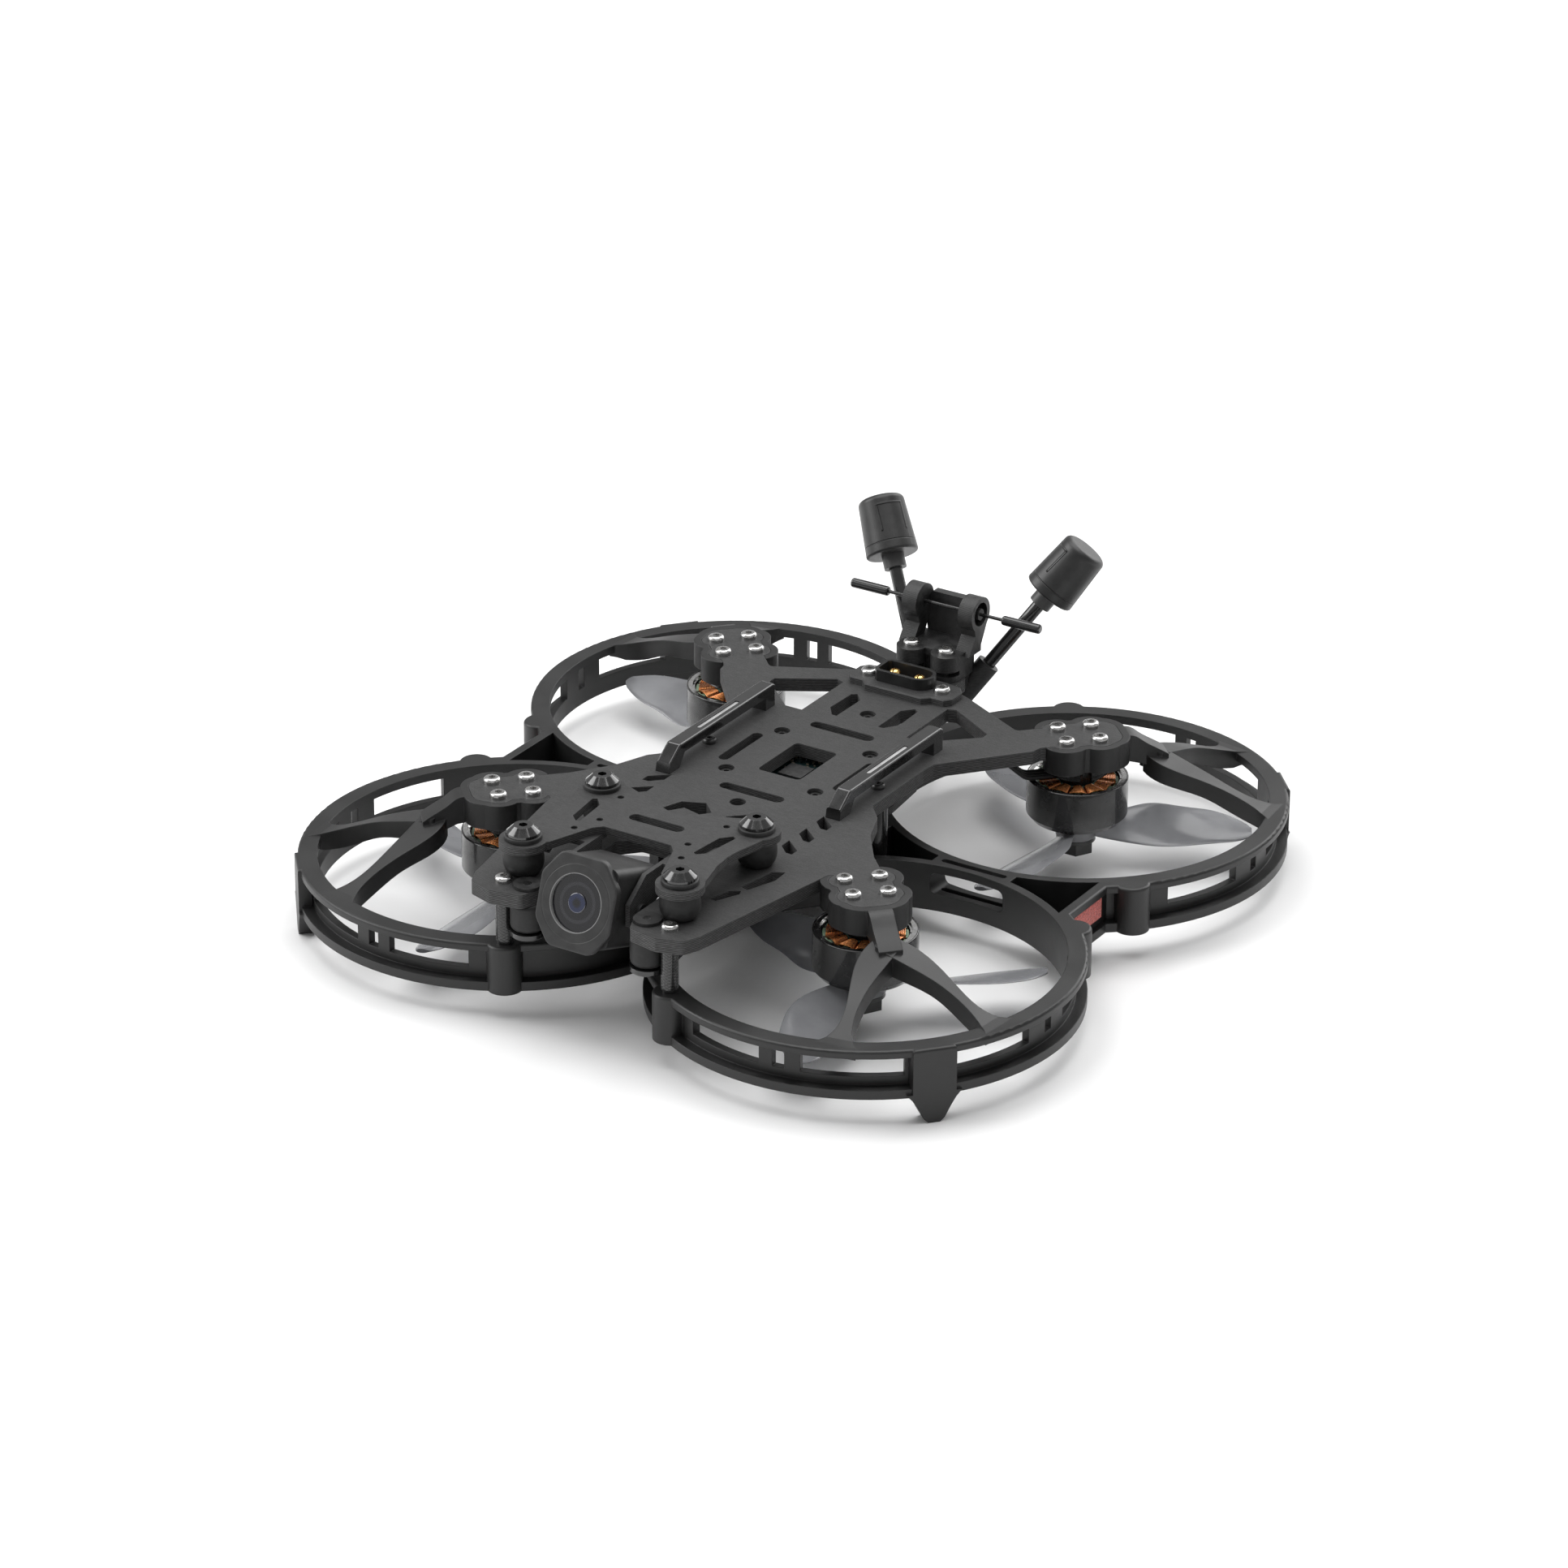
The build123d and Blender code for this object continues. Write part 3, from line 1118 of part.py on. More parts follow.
# ---- motors: parts that spin, one set for each motor
axle_top = hub_bottom - 0.4
stud_bottom = prop_bottom - nut_h - 0.8
bond = 0.02                    # glue line between a magnet and its ring
for name, (x, y) in motor_place.items():
    hand = 1 if x * y > 0 else -1
    with BuildPart() as bell:
        with BuildSketch(Plane.XY.offset(bell_bottom)):
            with Locations((x, y)):
                Circle(bell_r)
        extrude(amount=bell_h)
        chamfer(bell.faces().sort_by(Axis.Z)[0].edges(), 1.6, 1.3)
        fillet(bell.faces().sort_by(Axis.Z)[-1].edges(), 0.25)
        with BuildSketch(Plane.XY.offset(bell_bottom + bell_floor)):
            with Locations((x, y)):
                Circle(flux_r)
        extrude(amount=bell_h, mode=Mode.SUBTRACT)
        with BuildSketch(Plane.XY.offset(bell_bottom)):
            with Locations((x, y)):
                with PolarLocations(7.4, 6):
                    SlotOverall(5.2, 2.6, rotation=90)
        extrude(amount=bell_floor, mode=Mode.SUBTRACT)
        with BuildSketch(Plane.XY.offset(bell_bottom - 0.4)):
            with Locations((x, y)):
                Circle(prop_hub_r)
        extrude(amount=0.4)
        with BuildSketch(Plane.XY.offset(bell_bottom - 0.4)):
            with Locations((x, y)):
                Circle(axle_r)
        extrude(amount=bell_h, mode=Mode.SUBTRACT)
    save(bell, f"bell_{name}")

    with BuildPart() as magnet_ring:
        add(rod(x, y, bell_bottom + bell_floor, bell_top - 0.15, flux_r, magnet_r))
        with BuildSketch(Plane.XY.offset(core_bottom - 0.6)):
            with Locations((x, y)):
                Circle(magnet_r - bond)
                Circle(magnet_r - magnet_thick, mode=Mode.SUBTRACT)
                with PolarLocations(magnet_r, magnets):
                    Rectangle(3, 0.5, mode=Mode.SUBTRACT)
        extrude(amount=core_h + 1.2)
    save(magnet_ring, f"magnet_ring_{name}")

    with BuildPart() as axle:
        add(rod(x, y, prop_top, axle_top, axle_r))
        add(rod(x, y, stud_bottom, prop_top, stud_r))
        chamfer(axle.faces().sort_by(Axis.Z)[0].edges(), 0.5)
    save(axle, f"axle_{name}")

    with BuildPart() as propeller:
        with BuildSketch(Plane.XY.offset(prop_bottom)):
            Circle(prop_hub_r)
        extrude(amount=prop_hub_h)
        fillet(propeller.edges().group_by(Axis.Z)[0], 0.5)
        blade_mid = (prop_top + prop_bottom) / 2
        stations = ((3.4, 5.5, 34, 0), (10, 9.6, 30, 0.6), (20, 14.6, 22, 1.0), (31, 13.4, 16, 0.2),
                    (prop_r - 4, 8.8, 12, -1.6), (prop_r - 0.6, 3.4, 10, -2.8))
        for turn in range(blades):
            angle = motor_turn[name] + 360 / blades * turn
            out = Vector(cos(radians(angle)), sin(radians(angle)), 0)
            side = Vector(-out.Y, out.X, 0)
            for reach, chord, pitch, sweep_back in stations:
                chordwise = (side * cos(radians(pitch)) + Vector(0, 0, hand * sin(radians(pitch))))
                centre = out * reach + side * (sweep_back * hand) + Vector(0, 0, blade_mid)
                with BuildSketch(Plane(centre, x_dir=chordwise, z_dir=out)):
                    Ellipse(chord / 2, 0.55)
            loft()
        with BuildSketch(Plane.XY.offset(prop_bottom)):
            Circle(stud_r + slip)
        extrude(amount=prop_hub_h, mode=Mode.SUBTRACT)
    propeller.part = Location((x, y, 0)) * propeller.part
    save(propeller, f"propeller_{name}")

    with BuildPart() as prop_nut:
        with BuildSketch(Plane.XY.offset(prop_bottom)):
            with Locations((x, y)):
                RegularPolygon(nut_flats / 2, 6, major_radius=False)
                Circle(stud_r, mode=Mode.SUBTRACT)
        extrude(amount=-nut_h)
        with BuildSketch(Plane.XY.offset(prop_bottom)):
            with Locations((x, y)):
                Circle(nut_flats / 2 + 0.9)
                Circle(stud_r, mode=Mode.SUBTRACT)
        extrude(amount=-0.9)
    save(prop_nut, f"prop_nut_{name}")

# ---- grip pads on the outside of the webs
with BuildPart() as web_pads:
    for side in (1, -1):
        face = side * (motor_half_x + web_half)
        with BuildSketch(Plane.YZ.offset(face)):
            with Locations((0, (window_low + window_high) / 2)):
                Rectangle(15, 5.6)
        extrude(amount=side * 0.7)
save(web_pads, "web_pads")
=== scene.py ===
import bpy
import json
import math
from mathutils import Matrix, Vector


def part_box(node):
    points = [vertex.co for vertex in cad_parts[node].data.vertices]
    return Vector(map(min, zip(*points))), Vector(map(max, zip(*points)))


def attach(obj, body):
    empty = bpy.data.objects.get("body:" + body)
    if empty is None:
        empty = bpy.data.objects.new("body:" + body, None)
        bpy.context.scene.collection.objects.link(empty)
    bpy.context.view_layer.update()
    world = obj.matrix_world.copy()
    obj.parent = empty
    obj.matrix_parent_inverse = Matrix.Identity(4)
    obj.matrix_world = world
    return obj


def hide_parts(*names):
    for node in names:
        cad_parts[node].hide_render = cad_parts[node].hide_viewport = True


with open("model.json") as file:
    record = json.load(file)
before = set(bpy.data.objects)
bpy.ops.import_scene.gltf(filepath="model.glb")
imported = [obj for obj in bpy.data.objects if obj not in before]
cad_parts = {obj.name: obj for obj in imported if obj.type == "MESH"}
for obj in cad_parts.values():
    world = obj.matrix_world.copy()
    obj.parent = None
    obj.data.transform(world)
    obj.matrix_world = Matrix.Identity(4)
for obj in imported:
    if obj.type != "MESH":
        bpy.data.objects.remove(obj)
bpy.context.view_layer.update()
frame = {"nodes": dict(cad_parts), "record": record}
nodes = frame["nodes"]
mm = 0.001
motorX = 50.1 * mm               # motor axes, either side of the middle
motorY = 50.2 * mm
print("frame loaded:", len(nodes), "nodes")


# shader sums

class Signal:                    # a value in a shader, which can be used in sums
    def __init__(self, look, socket):
        self.look = look
        self.socket = socket

    def join(self, operation, *others):
        return self.look.make("ShaderNodeMath", {"operation": operation}, (self, *others))

    def joinAfter(self, operation, other):
        return self.look.make("ShaderNodeMath", {"operation": operation}, (other, self))

    def __add__(self, other):
        return self.join("ADD", other)

    def __radd__(self, other):
        return self.joinAfter("ADD", other)

    def __sub__(self, other):
        return self.join("SUBTRACT", other)

    def __rsub__(self, other):
        return self.joinAfter("SUBTRACT", other)

    def __mul__(self, other):
        return self.join("MULTIPLY", other)

    def __rmul__(self, other):
        return self.joinAfter("MULTIPLY", other)

    def __abs__(self):
        return self.join("ABSOLUTE")


class Look:                      # one procedural finish
    def __init__(self, name, **fixed):
        self.material = bpy.data.materials.new(name)
        self.material.use_nodes = True
        self.tree = self.material.node_tree
        self.tree.nodes.clear()
        out = self.tree.nodes.new("ShaderNodeOutputMaterial")
        self.shader = self.tree.nodes.new("ShaderNodeBsdfPrincipled")
        self.tree.links.new(self.shader.outputs[0], out.inputs[0])
        for key, value in fixed.items():
            self.feed(self.shader.inputs[spaced(key)], value)
        self.coords = self.tree.nodes.new("ShaderNodeTexCoord")
        self.point = Signal(self, self.coords.outputs["Object"])
        self.normal = Signal(self, self.coords.outputs["Normal"])

    def feed(self, socket, value):
        if isinstance(value, Signal):
            self.tree.links.new(value.socket, socket)
        else:
            socket.default_value = value

    def make(self, kind, settings=None, values=(), output=0):
        node = self.tree.nodes.new(kind)
        for key, value in (settings or {}).items():
            setattr(node, key, value)
        for key, value in values.items() if isinstance(values, dict) else enumerate(values):
            self.feed(node.inputs[key], value)
        return Signal(self, node.outputs[output])

    def split(self, vector):
        node = self.tree.nodes.new("ShaderNodeSeparateXYZ")
        self.tree.links.new(vector.socket, node.inputs[0])
        return [Signal(self, socket) for socket in node.outputs]

    def stretch(self, x, y, z):
        return self.make("ShaderNodeVectorMath", {"operation": "MULTIPLY"}, (self.point, (x, y, z)))

    def noise(self, scale, detail=3.0, vector=None):
        return self.make("ShaderNodeTexNoise", {}, {"Vector": vector or self.point, "Scale": scale,
                                                    "Detail": detail})

    def blend(self, factor, first, second):
        return self.make("ShaderNodeMix", {"data_type": "RGBA"}, {0: factor, 6: first, 7: second}, 2)

    def step(self, value, low, high):
        return self.make("ShaderNodeMapRange", {"interpolation_type": "SMOOTHSTEP"},
                         {"Value": value, "From Min": low, "From Max": high})

    def waves(self, value, period):
        return (value * (2 * math.pi / period)).join("SINE") * 0.5 + 0.5

    def bump(self, height, strength, distance, edge=0.0):
        values = {"Height": height, "Strength": strength, "Distance": distance}
        if edge:                 # corners catch the light as if slightly rounded
            values["Normal"] = self.make("ShaderNodeBevel", {"samples": 4}, {"Radius": edge})
        made = self.make("ShaderNodeBump", {}, values)
        self.feed(self.shader.inputs["Normal"], made)

    def wear(self, scale=300):   # soft patches between 0 and 1
        return self.step(self.noise(scale, 4.0), 0.35, 0.68)


def spaced(key):
    if key == "SpecularIor":
        return "Specular IOR Level"
    if key == "IOR":
        return key
    return "".join(" " + letter if letter.isupper() and i else letter for i, letter in enumerate(key))


def grey(value, tint=(1, 1, 1)):
    return (value * tint[0], value * tint[1], value * tint[2], 1)


def carbonLook():
    sizes = {"layer": 0.44 * mm, "face": 0.034, "edgeDark": 0.008, "edgeLight": 0.12}
    look = Look("carbonSheet", SpecularIor=0.4)
    z = look.split(look.point)[2]
    side = 1 - look.step(abs(look.split(look.normal)[2]), 0.35, 0.7)
    grain = look.noise(1.0, 4.0, look.stretch(700, 5200, 700))
    speck = look.noise(2600, 2.0)
    face = look.blend(look.step(grain, 0.3, 0.75), grey(sizes["face"] * 0.72), grey(sizes["face"] * 1.35))
    wobble = look.noise(160, 2.0) * (0.25 * mm)
    ply = look.waves(z + wobble, sizes["layer"])
    thread = look.step(look.noise(1.0, 3.0, look.stretch(900, 900, 9000)), 0.35, 0.7)
    edge = look.blend(ply * (0.45 + thread * 0.55), grey(sizes["edgeDark"]), grey(sizes["edgeLight"]))
    look.feed(look.shader.inputs["Base Color"], look.blend(side, face, edge))
    look.feed(look.shader.inputs["Roughness"], 0.44 + look.step(speck, 0.3, 0.7) * 0.14 + side * 0.1)
    look.bump(speck * 0.4 + grain * 0.4 + side * ply * 1.4, 0.3, 0.06 * mm, 0.2 * mm)
    return look.material


def ductLook():
    look = Look("mouldedDuct", SpecularIor=0.5)
    fine = look.noise(4200, 2.0)
    patch = look.wear(90)
    look.feed(look.shader.inputs["Base Color"], look.blend(patch, grey(0.009), grey(0.014)))
    look.feed(look.shader.inputs["Roughness"], 0.36 + patch * 0.08 + fine * 0.06)
    look.bump(fine, 0.22, 0.05 * mm, 0.35 * mm)
    return look.material


def paintedLook(name, shade, rough, coat=0.0, grain=3000, tint=(1, 1, 1), depth=0.03):
    look = Look(name, SpecularIor=0.5, CoatRoughness=0.08)
    fine = look.noise(grain, 2.0)
    patch = look.wear(260)
    colour = look.blend(patch, grey(shade * 0.82, tint), grey(shade * 1.2, tint))
    look.feed(look.shader.inputs["Base Color"], colour)
    look.feed(look.shader.inputs["Roughness"], rough + (patch - 0.5) * 0.06)
    look.shader.inputs["Coat Weight"].default_value = coat
    look.bump(fine, 0.2, depth * mm, 0.2 * mm)
    return look.material


def steelLook(name="polishedSteel", shade=0.62, rough=0.2):
    look = Look(name, Metallic=1.0)
    scuff = look.noise(1.0, 3.0, look.stretch(900, 900, 5200))
    patch = look.wear(700)
    colour = look.blend(patch, grey(shade), grey(shade * 0.84, (1, 0.985, 0.96)))
    look.feed(look.shader.inputs["Base Color"], colour)
    look.feed(look.shader.inputs["Roughness"], rough + look.step(scuff, 0.4, 0.8) * 0.16)
    look.bump(scuff, 0.16, 0.02 * mm)
    return look.material


def bellLook():
    look = Look("glossBell", SpecularIor=0.5, CoatRoughness=0.05)
    turned = look.waves(look.split(look.point)[2], 0.16 * mm)
    patch = look.wear(330)
    look.feed(look.shader.inputs["Base Color"], look.blend(patch, grey(0.011), grey(0.018)))
    look.feed(look.shader.inputs["Roughness"], 0.22 + patch * 0.06)
    look.shader.inputs["Coat Weight"].default_value = 0.5
    look.bump(turned, 0.12, 0.01 * mm)
    return look.material


def copperLook():
    look = Look("windingCopper", CoatWeight=0.6, CoatRoughness=0.12, Metallic=1.0)
    patch = look.wear(1500)
    colour = look.blend(patch, (0.62, 0.2, 0.055, 1), (0.82, 0.34, 0.12, 1))
    look.feed(look.shader.inputs["Base Color"], colour)
    look.feed(look.shader.inputs["Roughness"], 0.26 + patch * 0.12)
    look.bump(look.noise(5000, 2.0), 0.15, 0.02 * mm)
    return look.material


def coreLook():
    look = Look("statorStack", SpecularIor=0.5)
    sheet = look.waves(look.split(look.point)[2], 0.3 * mm)
    top = look.step(abs(look.split(look.normal)[2]), 0.5, 0.8)
    patch = look.wear(900)
    coated = look.blend(patch, (0.24, 0.36, 0.25, 1), (0.34, 0.46, 0.33, 1))
    cut = look.blend(sheet, grey(0.12), grey(0.3))
    look.feed(look.shader.inputs["Base Color"], look.blend(top, cut, coated))
    look.feed(look.shader.inputs["Roughness"], 0.45 + patch * 0.15)
    look.bump(sheet * (1 - top), 0.4, 0.05 * mm)
    return look.material


def smokeLook():
    look = Look("smokeBlade", IOR=1.49, SpecularIor=0.5, TransmissionWeight=0.5)
    patch = look.wear(120)
    fine = look.noise(1800, 2.0)
    colour = look.blend(patch, (0.33, 0.335, 0.35, 1), (0.38, 0.385, 0.4, 1))
    look.feed(look.shader.inputs["Base Color"], colour)
    look.feed(look.shader.inputs["Roughness"], 0.16 + patch * 0.05)
    look.bump(fine, 0.05, 0.02 * mm)
    return look.material


def printedLook():
    look = Look("printedMount", SpecularIor=0.5)
    x, y, z = look.split(look.point)
    wobble = look.noise(240, 2.0) * (0.09 * mm)
    layer = look.waves(z + wobble, 0.3 * mm)
    side = 1 - look.step(abs(look.split(look.normal)[2]), 0.6, 0.9)
    road = look.waves(x + y, 0.5 * mm)
    patch = look.wear(420)
    look.feed(look.shader.inputs["Base Color"], look.blend(patch, grey(0.014), grey(0.028)))
    look.feed(look.shader.inputs["Roughness"], 0.38 + patch * 0.16)
    look.bump(side * layer + (1 - side) * road * 0.5, 0.55, 0.09 * mm)
    return look.material


def aerialCapLook():
    sizes = {"neck": (21.8 * mm, 80.9 * mm, 53.2 * mm), "aim": (0.49, 0.386, 0.78), "low": 2.2 * mm}
    look = Look("aerialCap", SpecularIor=0.5)
    x, y, z = look.split(look.point)
    aim = Vector(sizes["aim"]).normalized()
    across = aim.cross(Vector((0, 0, 1))).normalized()
    other = aim.cross(across)
    spot = (abs(x) - sizes["neck"][0], y - sizes["neck"][1], z - sizes["neck"][2])

    def along(axis):
        return spot[0] * axis.x + spot[1] * axis.y + spot[2] * axis.z

    height = along(aim) - sizes["low"]
    u = along(across)
    v = along(other)
    seam = look.step(abs(height - 2.6 * mm), 0.22 * mm, 0.06 * mm)
    ribU = look.step(abs(abs(u) - 3.3 * mm), 0.34 * mm, 0.1 * mm) * look.step(height, 5 * mm, 5.6 * mm)
    ribTop = look.step(abs(height - 12.4 * mm), 0.34 * mm, 0.1 * mm) * look.step(abs(u), 3.5 * mm, 3.3 * mm)
    front = look.step(abs(v), 2.5 * mm, 3.5 * mm)
    ribs = (ribU * look.step(height, 12.6 * mm, 12.3 * mm) + ribTop) * front
    fine = look.noise(4200, 2.0)
    under = look.step(height, 0.3 * mm, 0.05 * mm)
    base = look.blend(look.wear(300), grey(0.012), grey(0.02))
    look.feed(look.shader.inputs["Base Color"], look.blend(under, base, grey(0.05)))
    look.feed(look.shader.inputs["Roughness"], 0.34 + fine * 0.1)
    look.bump(fine * 0.06 + ribs - seam, 1.0, 0.4 * mm)
    return look.material


def boardLook():
    look = Look("circuitBoard", SpecularIor=0.5)
    top = look.step(look.split(look.point)[2], 29.65 * mm, 29.75 * mm)
    cells = look.make("ShaderNodeTexVoronoi", {"feature": "DISTANCE_TO_EDGE"},
                      {"Vector": look.point, "Scale": 900.0})
    track = look.step(cells, 0.06, 0.02)
    mask = look.blend(track, (0.006, 0.02, 0.022, 1), (0.03, 0.06, 0.055, 1))
    chip = look.blend(look.wear(900), grey(0.014), grey(0.03))
    look.feed(look.shader.inputs["Base Color"], look.blend(top, mask, chip))
    look.feed(look.shader.inputs["Roughness"], 0.32 + top * 0.2 + look.noise(1800) * 0.1)
    look.bump(track, 0.4, 0.05 * mm)
    return look.material


def rubberLook():
    look = Look("softRubber", SpecularIor=0.35)
    fine = look.noise(5200, 3.0)
    patch = look.wear(420)
    look.feed(look.shader.inputs["Base Color"], look.blend(patch, grey(0.014), grey(0.026)))
    look.feed(look.shader.inputs["Roughness"], 0.46 + patch * 0.14)
    look.bump(fine, 0.3, 0.04 * mm)
    return look.material


def feltLook():
    look = Look("redFelt", SheenWeight=0.6, SheenRoughness=0.5, SpecularIor=0.2)
    fibre = look.noise(1.0, 5.0, look.stretch(3000, 1500, 3000))
    look.feed(look.shader.inputs["Base Color"], look.blend(look.step(fibre, 0.3, 0.7), (0.3, 0.03, 0.025, 1),
                                                         (0.68, 0.13, 0.1, 1)))
    look.feed(look.shader.inputs["Roughness"], 0.85 + fibre * 0.1)
    look.bump(fibre, 0.9, 0.25 * mm)
    return look.material


def goldLook():
    look = Look("plugGold", Metallic=1.0)
    turned = look.waves(look.split(look.point)[2], 0.2 * mm)
    patch = look.wear(1200)
    look.feed(look.shader.inputs["Base Color"], look.blend(patch, (0.98, 0.68, 0.26, 1), (0.9, 0.58, 0.2, 1)))
    look.feed(look.shader.inputs["Roughness"], 0.16 + patch * 0.14)
    look.bump(turned, 0.15, 0.02 * mm)
    return look.material


def lensReach(look):            # distance from the middle line of the tilted lens
    sizes = {"pivot": (0, -87 * mm, 33.6 * mm), "tilt": math.radians(18.5)}
    x, y, z = look.split(look.point)
    back = (y - sizes["pivot"][1]) * math.sin(sizes["tilt"])
    up = back + (z - sizes["pivot"][2]) * math.cos(sizes["tilt"])
    return (x * x + up * up).join("SQRT")


def lensLook():
    sizes = {"lensR": 2.4 * mm}
    look = Look("darkGlass", SpecularIor=0.8, CoatWeight=1.0, CoatRoughness=0.02)
    reach = lensReach(look)
    lens = look.step(reach, sizes["lensR"], sizes["lensR"] * 0.92)
    tube = look.step(abs(reach - 4.5 * mm), 0.5 * mm, 0.3 * mm)
    base = look.blend(tube, (0.004, 0.004, 0.006, 1), (0.02, 0.02, 0.024, 1))
    iris = look.blend(look.step(reach, 1.6 * mm, 0.6 * mm), (0.01, 0.016, 0.05, 1), (0.002, 0.002, 0.004, 1))
    look.feed(look.shader.inputs["Base Color"], look.blend(lens, base, iris))
    look.feed(look.shader.inputs["Roughness"], 0.05 + look.noise(400) * 0.03)
    look.bump(look.noise(900), 0.02, 0.01 * mm)
    return look.material


def bezelLook():
    sizes = {"glassR": 6.9 * mm}
    look = Look("cameraFace", SpecularIor=0.5)
    reach = lensReach(look)
    frameLine = look.step(abs(reach - 9.3 * mm), 0.22 * mm, 0.08 * mm)
    rim = look.step(abs(reach - sizes["glassR"]), 0.3 * mm, 0.1 * mm)
    fine = look.noise(4800, 2.0)
    base = look.blend(look.wear(300), grey(0.016), grey(0.024))
    look.feed(look.shader.inputs["Base Color"], look.blend(rim, base, grey(0.2)))
    look.feed(look.shader.inputs["Roughness"], 0.42 + fine * 0.12 - rim * 0.2)
    look.bump(fine * 0.2 - frameLine, 0.5, 0.12 * mm, 0.25 * mm)
    return look.material


def leadLook():
    look = Look("siliconeLead", SpecularIor=0.4)
    x = look.split(look.point)[0]
    fine = look.noise(2600, 3.0)
    red = look.step(x, 0.0005, 0.0006) * look.step(abs(x), 9 * mm, 8 * mm)
    look.feed(look.shader.inputs["Base Color"], look.blend(red, grey(0.016), (0.32, 0.012, 0.01, 1)))
    look.feed(look.shader.inputs["Roughness"], 0.48 + fine * 0.12)
    look.bump(fine, 0.2, 0.04 * mm)
    return look.material


looks = {
    "carbon": carbonLook(),
    "duct": ductLook(),
    "black_steel": paintedLook("blackScrew", 0.02, 0.34, 0.1),
    "steel": steelLook(),
    "posts": paintedLook("anodisedPost", 0.012, 0.2, 0.6),
    "board": boardLook(),
    "rubber": rubberLook(),
    "heat_case": paintedLook("darkCase", 0.06, 0.4),
    "sleeve": paintedLook("darkSleeve", 0.02, 0.25, 0.3, tint=(0.6, 0.7, 1.4)),
    "lead": leadLook(),
    "gloss": paintedLook("glossRail", 0.01, 0.16, 0.7, grain=1500),
    # painted light: a pale strip in each rail slot stands for the bright backdrop seen through the slot
    "white_strip": paintedLook("slotBackdropPaintedLight", 0.38, 0.5),
    "connector": paintedLook("satinShell", 0.014, 0.38, grain=3600),
    "gold": goldLook(),
    "printed": printedLook(),
    "wire": paintedLook("glossWire", 0.012, 0.2, 0.5),
    "glass": lensLook(),
    "camera": bezelLook(),
    "bell": bellLook(),
    "magnet": steelLook("brightRing", 0.7, 0.16),
    "copper": copperLook(),
    "core": coreLook(),
    "smoke": smokeLook(),
    "felt": feltLook(),
}
for entry in frame["record"]["subparts"]:
    for place in nodes[entry["node"]].material_slots:
        place.material = looks[entry["material_slot"]]
capLook = aerialCapLook()
for place in nodes["antenna_caps"].material_slots:
    place.material = capLook
print("finishes:", len(looks) + 1)


# repeated pieces, made with geometry nodes

class Recipe:
    def __init__(self, name, sizes, material):
        self.tree = bpy.data.node_groups.new(name, "GeometryNodeTree")
        self.tree.interface.new_socket("Geometry", in_out="OUTPUT", socket_type="NodeSocketGeometry")
        self.sizes = {}
        for key, value in sizes.items():
            kind = "NodeSocketInt" if isinstance(value, int) else "NodeSocketFloat"
            self.sizes[key] = (self.tree.interface.new_socket(key, in_out="INPUT", socket_type=kind), value)
        self.inputs = self.tree.nodes.new("NodeGroupInput")
        self.out = self.tree.nodes.new("NodeGroupOutput")
        self.name = name
        self.material = material

    def size(self, key):
        return self.inputs.outputs[key]

    def make(self, kind, settings=None, values=None, output=0):
        node = self.tree.nodes.new(kind)
        for key, value in (settings or {}).items():
            setattr(node, key, value)
        for key, value in (values or {}).items():
            if isinstance(value, bpy.types.NodeSocket):
                self.tree.links.new(value, node.inputs[key])
            else:
                node.inputs[key].default_value = value
        return node.outputs[output]

    def sum(self, operation, first, second):
        return self.make("ShaderNodeMath", {"operation": operation}, {0: first, 1: second})

    def vector(self, x=0.0, y=0.0, z=0.0):
        return self.make("ShaderNodeCombineXYZ", {}, {0: x, 1: y, 2: z})

    def copies(self, geometry, count, rotation=None, offset=None, scale=None):
        line = self.make("GeometryNodeMeshLine", {}, {"Count": count, "Offset": offset or (0, 0, 0)})
        values = {"Points": line, "Instance": geometry}
        if rotation is not None:
            values["Rotation"] = rotation
        if scale is not None:
            values["Scale"] = scale
        placed = self.make("GeometryNodeInstanceOnPoints", {}, values)
        return self.make("GeometryNodeRealizeInstances", {}, {0: placed})

    def finish(self, geometry, body):
        real = self.make("GeometryNodeRealizeInstances", {}, {0: geometry})
        painted = self.make("GeometryNodeSetMaterial", {}, {"Geometry": real, "Material": self.material})
        self.tree.links.new(painted, self.out.inputs[0])
        holder = bpy.data.objects.new(self.name, bpy.data.meshes.new(self.name))
        bpy.context.scene.collection.objects.link(holder)
        modifier = holder.modifiers.new("recipe", "NODES")
        modifier.node_group = self.tree
        for socket, value in self.sizes.values():
            modifier[socket.identifier] = value
        solid = bpy.data.meshes.new_from_object(holder.evaluated_get(bpy.context.evaluated_depsgraph_get()))
        holder.modifiers.clear()
        holder.data = solid
        if not solid.materials:
            solid.materials.append(self.material)
        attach(holder, body)
        return holder


def motorPoints(recipe):
    return recipe.make("GeometryNodeMeshGrid", {}, {"Size X": 2 * motorX, "Size Y": 2 * motorY,
                                                    "Vertices X": 2, "Vertices Y": 2})


